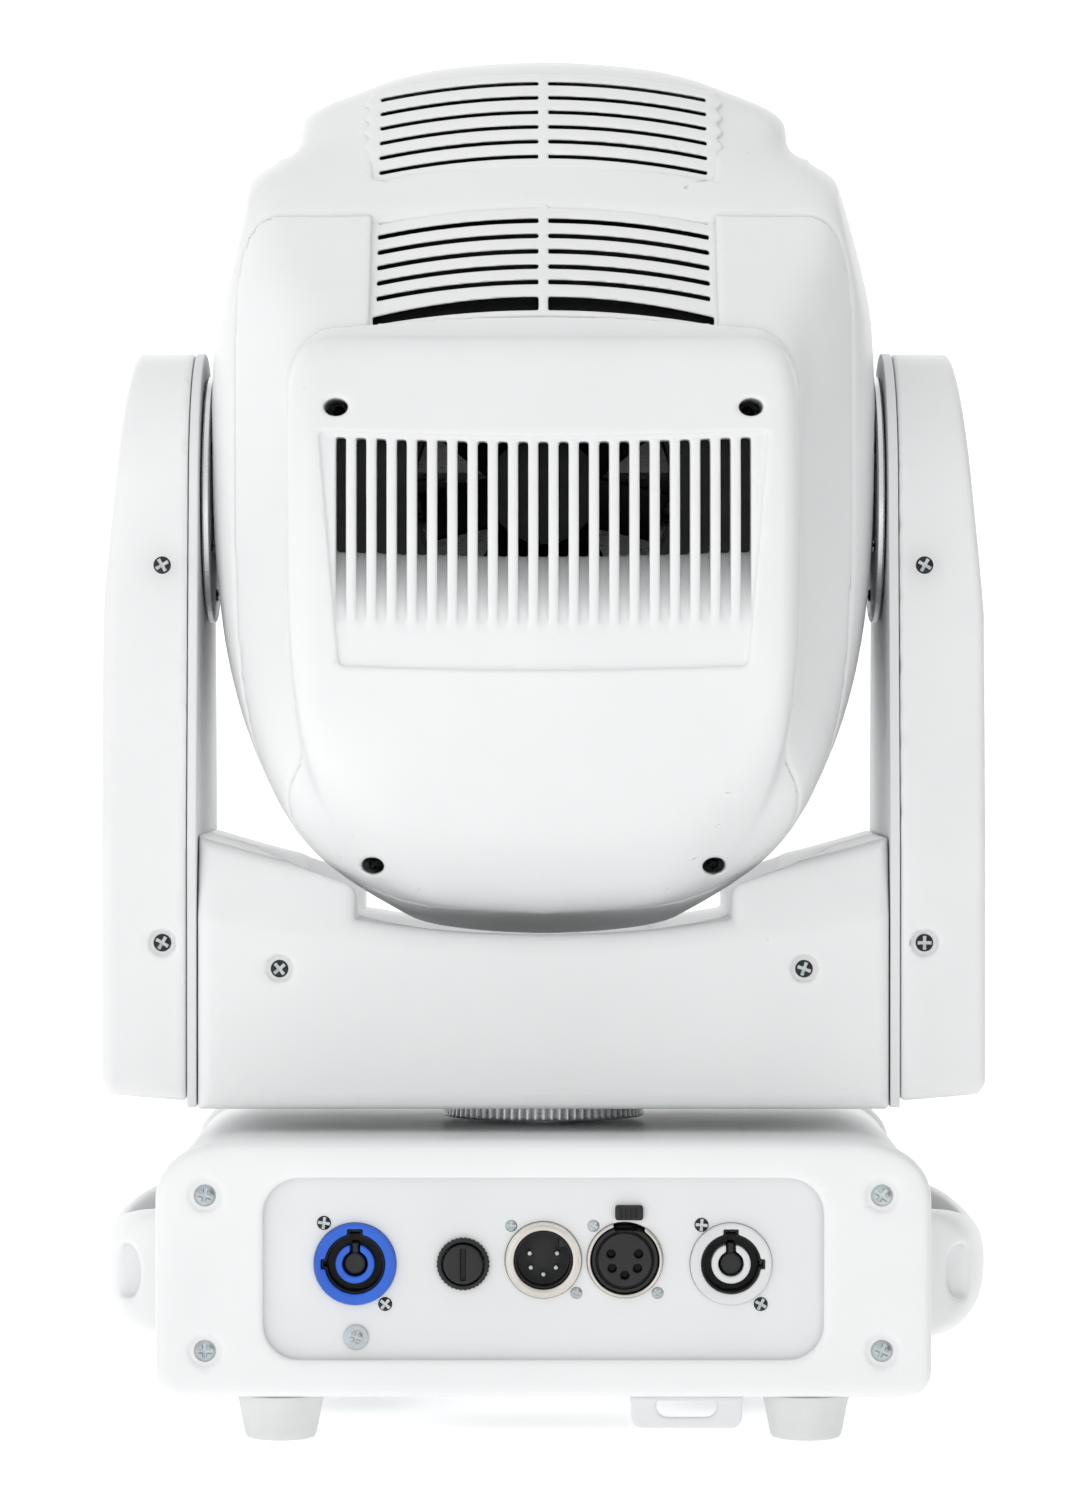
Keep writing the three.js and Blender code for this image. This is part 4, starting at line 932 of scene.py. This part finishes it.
def build_data_connectors():
    """Five-pole plug and socket, in round metal shells."""
    pins = [(4.6 * math.cos(math.radians(a)), 4.6 * math.sin(math.radians(a))) for a in (24, -33, -90, -147, 156)]
    block, u, v, lip = small_block("data_inlet", 12.8, 12.5)
    y = block.y
    radius = np.sqrt(u ** 2 + v ** 2)
    shell = smax(radius - 11.7, np.abs(y - lip - 5.8) - 5.8, 0.9)
    shell = smax(shell, -smax(radius - 8.9, y - lip - 10, 0.3), 0.9)
    shell = smax(shell, -(np.abs(radius - 10.9) + np.abs(y - lip) - 0.35), 0.2)
    block.surface("data_inlet", shell, "base", "nickel", ["data_inlet"])
    lining = np.maximum(radius - 8.8, -(radius - 8.2))
    lining = np.maximum(lining, np.maximum(lip + 1.2 - y, y - lip - 9))
    key = np.maximum(np.maximum(np.abs(u - 6.2) - 1.4, np.abs(v - 5.2) - 1.4), radius - 8.8)
    key = np.maximum(key, np.maximum(lip + 2.0 - y, y - lip - 9))
    dark = np.minimum(np.minimum(lining, np.maximum(radius - 8.8, np.abs(y - lip - 9.2) - 0.6)), key)
    block.surface("data_inlet_insert", dark, "base", "black_plastic")
    rods = None
    for px, pz in pins:
        reach = np.sqrt((u - px) ** 2 + (v - pz) ** 2)
        rod = smax(reach - 0.85, np.maximum(lip + 2.6 - y, y - lip - 9.4), 0.6)
        rods = rod if rods is None else np.minimum(rods, rod)
    block.surface("data_inlet_pins", rods, "base", "zinc_steel")
    block, u, v, lip = small_block("data_outlet", 12.8, 12.5)
    y = block.y
    radius = np.sqrt(u ** 2 + v ** 2)
    shell = smax(radius - 11.6, np.abs(y - lip - 5.8) - 5.8, 0.8)
    shell = smax(shell, -smax(radius - 10.5, y - lip - 10, 0.3), 0.5)
    slot = np.maximum(np.abs(u - 1.3) - 4.7, 8.6 - v)
    shell = smax(shell, -np.maximum(slot, y - lip - 9), 0.3)
    block.surface("data_outlet_shell", shell, "base", "nickel")
    face = smax(radius - 10.2, np.abs(y - lip - 5.4) - 4.6, 0.6)
    face = smax(face, -np.maximum(np.abs(radius - 8.6) - 0.35, y - lip - 2.2), 0.2)
    for px, pz in pins:
        face = smax(face, -np.maximum(np.sqrt((u + px) ** 2 + (v - pz) ** 2) - 1.35, y - lip - 5), 0.3)
    face = smax(face, -np.maximum(slot + 0.3, y - lip - 9), 0.3)
    block.surface("data_outlet", face, "base", "black_plastic", ["data_outlet"])
    low, high = node_mm("data_release_tab")
    block = Block(low - 1, high + 1, 0.25)
    cx, cz = (low[0] + high[0]) / 2, 70.4
    tab = block.box((cx - 4.3, low[1], cz - 2.3), (cx + 4.3, high[1], cz + 2.3), 0.9)
    ridges = np.maximum(np.abs((block.x - cx) / 1.5 % 1.0 - 0.5) * 1.5 - 0.3, block.y - low[1] - 0.45)
    ridges = np.maximum(ridges, np.abs(block.x - cx) - 3.2)
    tab = smax(tab, -np.maximum(ridges, np.abs(block.z - cz) - 1.5), 0.2)
    block.surface("data_release_tab", tab, "release_tab", "black_plastic", ["data_release_tab"])


def build_fuse():
    block, u, v, lip = small_block("fuse_holder", 9.4, 6)
    y = block.y
    radius = np.sqrt(u ** 2 + v ** 2)
    ribs = 0.16 * np.cos(np.arctan2(v, u) * 36)
    holder = smax(radius - 8.0 + ribs, np.abs(y - lip - 2.4) - 2.6, 0.9)
    holder = smax(holder, -(radius - 6.5), 0.4)
    block.surface("fuse_holder", holder, "base", "black_plastic", ["fuse_holder"])
    block, u, v, lip = small_block("fuse_cap", 7, 8, 0.25)
    radius = np.sqrt(u ** 2 + v ** 2)
    cap = smax(radius - 6.1, np.abs(block.y - lip - 4) - 4, 0.9)
    cap = smax(cap, -np.maximum(np.maximum(np.abs(u) - 0.8, np.abs(v) - 4.9), block.y - lip - 1.9), 0.25)
    block.surface("fuse_cap", cap, "fuse_cap", "black_plastic", ["fuse_cap"])


def build_panel():
    """The white steel plate that carries the connectors, with a round hole for each."""
    low, high = node_mm("connector_panel")
    holes = []
    for name, r in (("power_inlet", 12.6), ("power_outlet", 12.6), ("data_inlet", 11.8), ("data_outlet", 11.7),
                    ("fuse_holder", 7.4)):
        cx, _, cz = middle_mm(name)
        holes.append(circle(cx, cz, r, 48))
    outline = rounded_rect(low[0], high[0], low[2], high[2], 12)
    plate("connector_panel", outline, "Y", low[1], high[1], "base", "white_metal", ["connector_panel"], holes, 0.3)


# ---- foot of the yoke, feet and underside ----
def build_pan_ring():
    """The finely fluted metal ring between the base and the yoke."""
    low, high = node_mm("pan_pulley")
    r, teeth = high[0], 80
    bm = bmesh.new()
    levels = [(0.0, 0.985, 0.0), (0.5, 1.0, 0.0), (1.2, 1.0, 1.0), (high[2] - low[2] - 1.6, 1.0, 1.0),
              (high[2] - low[2] - 1.0, 1.0, 0.0), (high[2] - low[2], 0.985, 0.0)]
    bore = 16.5
    loops = []
    for rise, scale, flute in levels:
        loop = []
        for i in range(teeth * 4):
            a = 2 * math.pi * i / (teeth * 4)
            depth = 0.75 * flute * (0.5 - 0.5 * math.cos(teeth * a)) ** 1.5
            radius = r * scale - depth
            loop.append(bm.verts.new((radius * math.cos(a), radius * math.sin(a), low[2] + rise)))
        loops.append(loop)
    for z in (high[2], low[2]):
        loops.append([bm.verts.new((bore * math.cos(2 * math.pi * i / (teeth * 4)),
                                    bore * math.sin(2 * math.pi * i / (teeth * 4)), z)) for i in range(teeth * 4)])
    for a, b in zip(loops, loops[1:] + loops[:1]):
        for i in range(len(a)):
            j = (i + 1) % len(a)
            bm.faces.new((a[i], a[j], b[j], b[i]))
    bmesh.ops.recalc_face_normals(bm, faces=bm.faces)
    bmesh.ops.scale(bm, vec=(MM, MM, MM), verts=bm.verts)
    mesh = bpy.data.meshes.new("pan_pulley")
    bm.to_mesh(mesh)
    bm.free()
    finish_piece("pan_pulley", mesh, BODY_OF["pan_pulley"], "aluminium", ["pan_pulley"])
    mesh.set_sharp_from_angle(angle=math.radians(50))


def build_feet():
    """Tapered feet of pale soft plastic, each with a screw well underneath."""
    for i in range(1, 5):
        low, high = node_mm(f"foot_{i}")
        cx, cy = (low[0] + high[0]) / 2, (low[1] + high[1]) / 2
        h = high[2]
        profile = [(0, 5.5), (3.0, 5.5), (3.4, 5.2), (3.6, 0.3), (4.0, 0), (9.4, 0), (10.4, 0.35), (10.9, 1.2),
                   (11.2, 2.4), (13.0, h - 2.0), (13.4, h - 1.2), (13.4, h - 0.3), (13.0, h), (0, h)]
        lathe(f"foot_{i}", profile, "base", "foot_rubber", "Z", (cx, cy, 0), [f"foot_{i}"])


def build_safety_loop():
    low, high = node_mm("safety_loop")
    block = Block(low - 1, high + (1, 1, 4), 0.4)
    x0, x1 = low[0], high[0]
    strap = smax(block.along_y(rounded_rect(x0, x1, low[2], 22, 3.6)), np.abs(block.y - low[1] - 1.5) - 1.5, 0.9)
    eye = block.along_y(rounded_rect(x0 + 7.7, x1 - 7.7, low[2] + 3.4, 26, 3.4))
    field = smax(strap, -eye, 1.0)
    foot = block.box((x0, low[1], 12.2), (x1, high[1], 13.7), 0.4)
    field = smax(smin(field, foot, 1.2), block.z - 13.7, 0.2)
    block.surface("safety_loop", field, "base", "white_metal", ["safety_loop"])


def build_underside():
    """The bottom plate, with rows of vent slots, and the two seats for clamp brackets."""
    low, high = node_mm("base_bottom_plate")
    slots = []
    for side in (-1, 1):
        for i in range(7):
            y = 44 + 5 * i
            slots.append([(u, side * y + v) for u, v in rounded_rect(-34, 34, -1.2, 1.2, 1.15, 4)])
    outline = rounded_rect(low[0], high[0], low[1], high[1], 4)
    plate("base_bottom_plate", outline, "Z", low[2], high[2], "base", "white_metal", ["base_bottom_plate"], slots, 0.3)
    for word in ("left", "right"):
        name = f"clamp_seat_{word}"
        low, high = node_mm(name)
        cx = (low[0] + high[0]) / 2
        locks = []
        for y in (-21, 21):
            ring = [(cx + 5.2 * math.cos(a), y + 5.2 * math.sin(a)) for a in np.linspace(0, 2 * math.pi, 24, False)]
            locks.append([(px + (3.2 if abs(py - y) < 2 and px > cx else -3.2 if abs(py - y) < 2 else 0), py)
                          for px, py in ring])
        outline = rounded_rect(low[0], high[0], low[1], high[1], 6)
        plate(name, outline, "Z", low[2], high[2], "base", "zinc_steel", [name], locks, 0.5)


# ---- tilt hubs ----
def build_hubs():
    for side, word in ((-1, "left"), (1, "right")):
        name = f"tilt_shaft_{word}"
        profile = [(9, 90), (12, 90), (12, 106.2), (37.6, 106.2), (38.2, 106.5), (39.0, 106.2), (39.6, 106.3),
                   (40, 106.7), (40, 108.1), (39.5, 108.6), (26, 108.6), (25.4, 108.2), (20, 108.2), (19.4, 108.6),
                   (12, 108.6), (12, 128), (9, 128)]
        turned = [(r, side * h) for r, h in profile]
        lathe(name, turned, "head", "aluminium", "X", (0, 0, TILT_Z), [name], 96, closed=True)
        plate_name = f"arm_plate_{word}"
        low, high = node_mm(plate_name)
        centre = circle(0, TILT_Z, 18.3, 40)
        motor = circle(0, node_mm("tilt_pinion")[0][2] + 6.6, 3.2, 20)
        holes = [centre, motor] if side > 0 else [centre]
        plate(plate_name, arm_side(0.6), "X", low[0], high[0], "yoke", "white_metal", [plate_name], holes, 0.6)


# ---- front of the head ----
def honeycomb(pitch):
    return [((i - (4 - abs(row)) / 2) * pitch, row * pitch * math.sin(math.pi / 3))
            for row in range(-2, 3) for i in range(5 - abs(row))]


def build_optics():
    origin = (0, 0, TILT_Z)
    r, y0, y1 = BEZEL_HIGH[0], BEZEL_LOW[1], BEZEL_HIGH[1]
    bezel = [(89, y0), (96.6, y0), (r, y0 + 0.6), (r, y1 - 3.4), (r - 0.8, y1 - 1.6), (r - 3, y1 - 0.3), (r - 4, y1),
             (91.4, y1), (90.6, y1 - 0.5), (89.6, y1 - 3.2), (89, y1 - 4)]
    lathe("lens_bezel", bezel, "head", "black_plastic", "Y", origin, ["lens_bezel"], 128, closed=True)
    low, high = node_mm("lens_plate")
    holes = [circle(x, z, 16.0, 36) for x, z in honeycomb(35)]
    disc = plate("lens_plate", circle(0, 0, 88.0, 128), "Y", low[1], high[1], "head", "black_plastic",
                 ["lens_plate"], holes, 0.5)
    disc.data.transform(Matrix.Translation((0, 0, TILT_Z * MM)))
    front = node_mm("lens_array")[1][1]
    dome = [(0, front - 0.6), (2.6, front - 0.2), (3.4, front - 1.4), (5, front - 1.0), (8, front - 0.7),
            (11, front - 1.5), (13.4, front - 2.8), (15.0, front - 4.2), (15.4, front - 5.2), (15.4, front - 8.0),
            (0, front - 8.0)]
    collar = [(14.6, front - 6), (15.9, front - 6), (15.9, front - 2.6), (15.2, front - 2.3), (14.9, front - 3.4)]
    led = [(0, 63.4), (5.4, 63.4), (5.8, 63.0), (5.8, 61.3), (0, 61.3)]
    places = [((x, 0, TILT_Z + z), "rear", 0) for x, z in honeycomb(35)]
    repeated("lens_array", *turned_shape(dome, segments=48), places, "head", "lens_glass", ["lens_array"])
    repeated("lens_collars", *turned_shape(collar, segments=48, closed=True), places, "head", "aluminium")
    repeated("led_emitters", *turned_shape(led, segments=24), places, "head", "white_plastic")


def build_display():
    low, high = node_mm("display_window")
    outline = rounded_rect(low[0] + 0.1, high[0] - 0.1, low[2] + 0.1, high[2] - 0.1, 3)
    plate("display_window", outline, "Y", low[1], high[1], "base", "display_glass", ["display_window"], (), 0.5)
    for i in range(1, 5):
        name = f"menu_key_{i}"
        low, high = node_mm(name)
        cx, _, cz = middle_mm(name)
        y0, y1 = low[1], high[1]
        profile = [(0, y0), (6.1, y0), (6.1, y0 + 1.4), (4.9, y0 + 1.5), (4.9, y1 - 1.0), (4.6, y1 - 0.4),
                   (4.0, y1 - 0.1), (3.2, y1 - 0.2), (0, y1 - 0.7)]
        lathe(name, profile, name, "black_plastic", "Y", (cx, 0, cz), [name])


# ---- dark inside of the head: painted shade and the fan shroud ----
def build_shade_box_and_shroud():
    """A black shell behind the vents and round the fan, painted shade which keeps the slots dark."""
    origin = (0, 0, TILT_Z)
    block = Block((-62, -94, 40), (62, -4, 142), 1.0, origin)
    body = head_distance(block)
    # A black shell 7.5 mm inside the head: painted shade behind the vent slots.
    field = smax(np.abs(body + 7.5) - 0.9, np.abs(block.x) - 58, 1.0)
    field = smax(field, block.y + 10, 1.0)
    field = smax(field, 44 - block.z, 1.0)
    field = smax(field, -block.box((-48, -95, 0), (48, -66, 49), 2), 1.0)
    block.surface("painted_shade_box", field, "head", "black_plastic")
    hole = circle(0, 0, 40.5, 64)
    shroud = plate("fan_shroud", rounded_rect(-64, 64, -58, 24, 4), "Y", -93.4, -92.3, "head", "black_plastic",
                   holes=[hole], bevel=0.2)
    shroud.data.transform(Matrix.Translation((0, 0, TILT_Z * MM)))


build_screws()
build_power_connector("power_inlet", "blue_plastic", -1)
build_power_connector("power_outlet", "white_plastic", 1)
build_data_connectors()
build_fuse()
build_panel()
build_pan_ring()
build_feet()
build_safety_loop()
build_underside()
build_hubs()
build_optics()
build_display()
build_shade_box_and_shroud()


# ---- stage ----
def build_stage():
    camera_data = bpy.data.cameras.new("camera")
    camera = bpy.data.objects.new("camera", camera_data)
    bpy.context.scene.collection.objects.link(camera)
    bpy.context.scene.camera = camera
    camera.location = (0.0, -1.815, 0.225)
    camera.rotation_euler = (math.radians(90 - 0.45), 0, math.radians(0.055))
    camera_data.sensor_fit = "VERTICAL"
    camera_data.sensor_height = 36
    camera_data.lens = 134.0
    camera_data.clip_end = 50

    floor = bpy.data.meshes.new("floor")
    size, depth, rise, curve = 6.0, 2.2, 4.0, 1.2
    profile = [(-3.0, 0.0), (depth, 0.0)]
    profile += [(depth + curve * math.sin(a), curve - curve * math.cos(a)) for a in np.linspace(0.1, math.pi / 2, 12)]
    profile.append((depth + curve, rise))
    points = [(x, y, z) for x in (-size, size) for y, z in profile]
    n = len(profile)
    floor.from_pydata(points, [], [(i, i + n, i + n + 1, i + 1) for i in range(n - 1)])
    floor.polygons.foreach_set("use_smooth", [True] * (n - 1))
    floor_obj = bpy.data.objects.new("floor", floor)
    bpy.context.scene.collection.objects.link(floor_obj)
    paper = bpy.data.materials.new("paper")
    paper.use_nodes = True
    sheet = paper.node_tree.nodes["Principled BSDF"]
    sheet.inputs["Base Color"].default_value = (0.82, 0.82, 0.82, 1)
    sheet.inputs["Roughness"].default_value = 0.9
    sheet.inputs["Emission Color"].default_value = (1, 1, 1, 1)
    sheet.inputs["Emission Strength"].default_value = 0.5
    floor.materials.append(paper)

    world = bpy.data.worlds.new("studio")
    bpy.context.scene.world = world
    world.use_nodes = True
    world.node_tree.nodes["Background"].inputs["Color"].default_value = (1, 1, 1, 1)
    world.node_tree.nodes["Background"].inputs["Strength"].default_value = 0.86
    flag = bpy.data.meshes.new("dark_card")
    flag.from_pydata([(0.85, y, z) for y, z in ((-1.0, 0.0), (0.6, 0.0), (0.6, 1.0), (-1.0, 1.0))], [], [(0, 1, 2, 3)])
    flag_obj = bpy.data.objects.new("dark_card", flag)
    bpy.context.scene.collection.objects.link(flag_obj)
    grey = bpy.data.materials.new("card")
    grey.use_nodes = True
    grey.node_tree.nodes["Principled BSDF"].inputs["Base Color"].default_value = (0.25, 0.25, 0.25, 1)
    flag.materials.append(grey)

    lights = [("key_softbox", (-1.2, -2.2, 0.3), 1.6, 5), ("fill_softbox", (1.3, -2.1, 0.3), 1.2, 2.5),
              ("top_softbox", (-0.3, -0.3, 2.2), 1.6, 1)]
    for name, place, size, power in lights:
        data = bpy.data.lights.new(name, "AREA")
        data.size = size
        data.energy = power
        lamp = bpy.data.objects.new(name, data)
        lamp.location = place
        aim = Vector((0, 0, 0.22)) - Vector(place)
        lamp.rotation_euler = aim.to_track_quat("-Z", "Y").to_euler()
        bpy.context.scene.collection.objects.link(lamp)
    bpy.context.scene.view_settings.view_transform = "Standard"


build_stage()
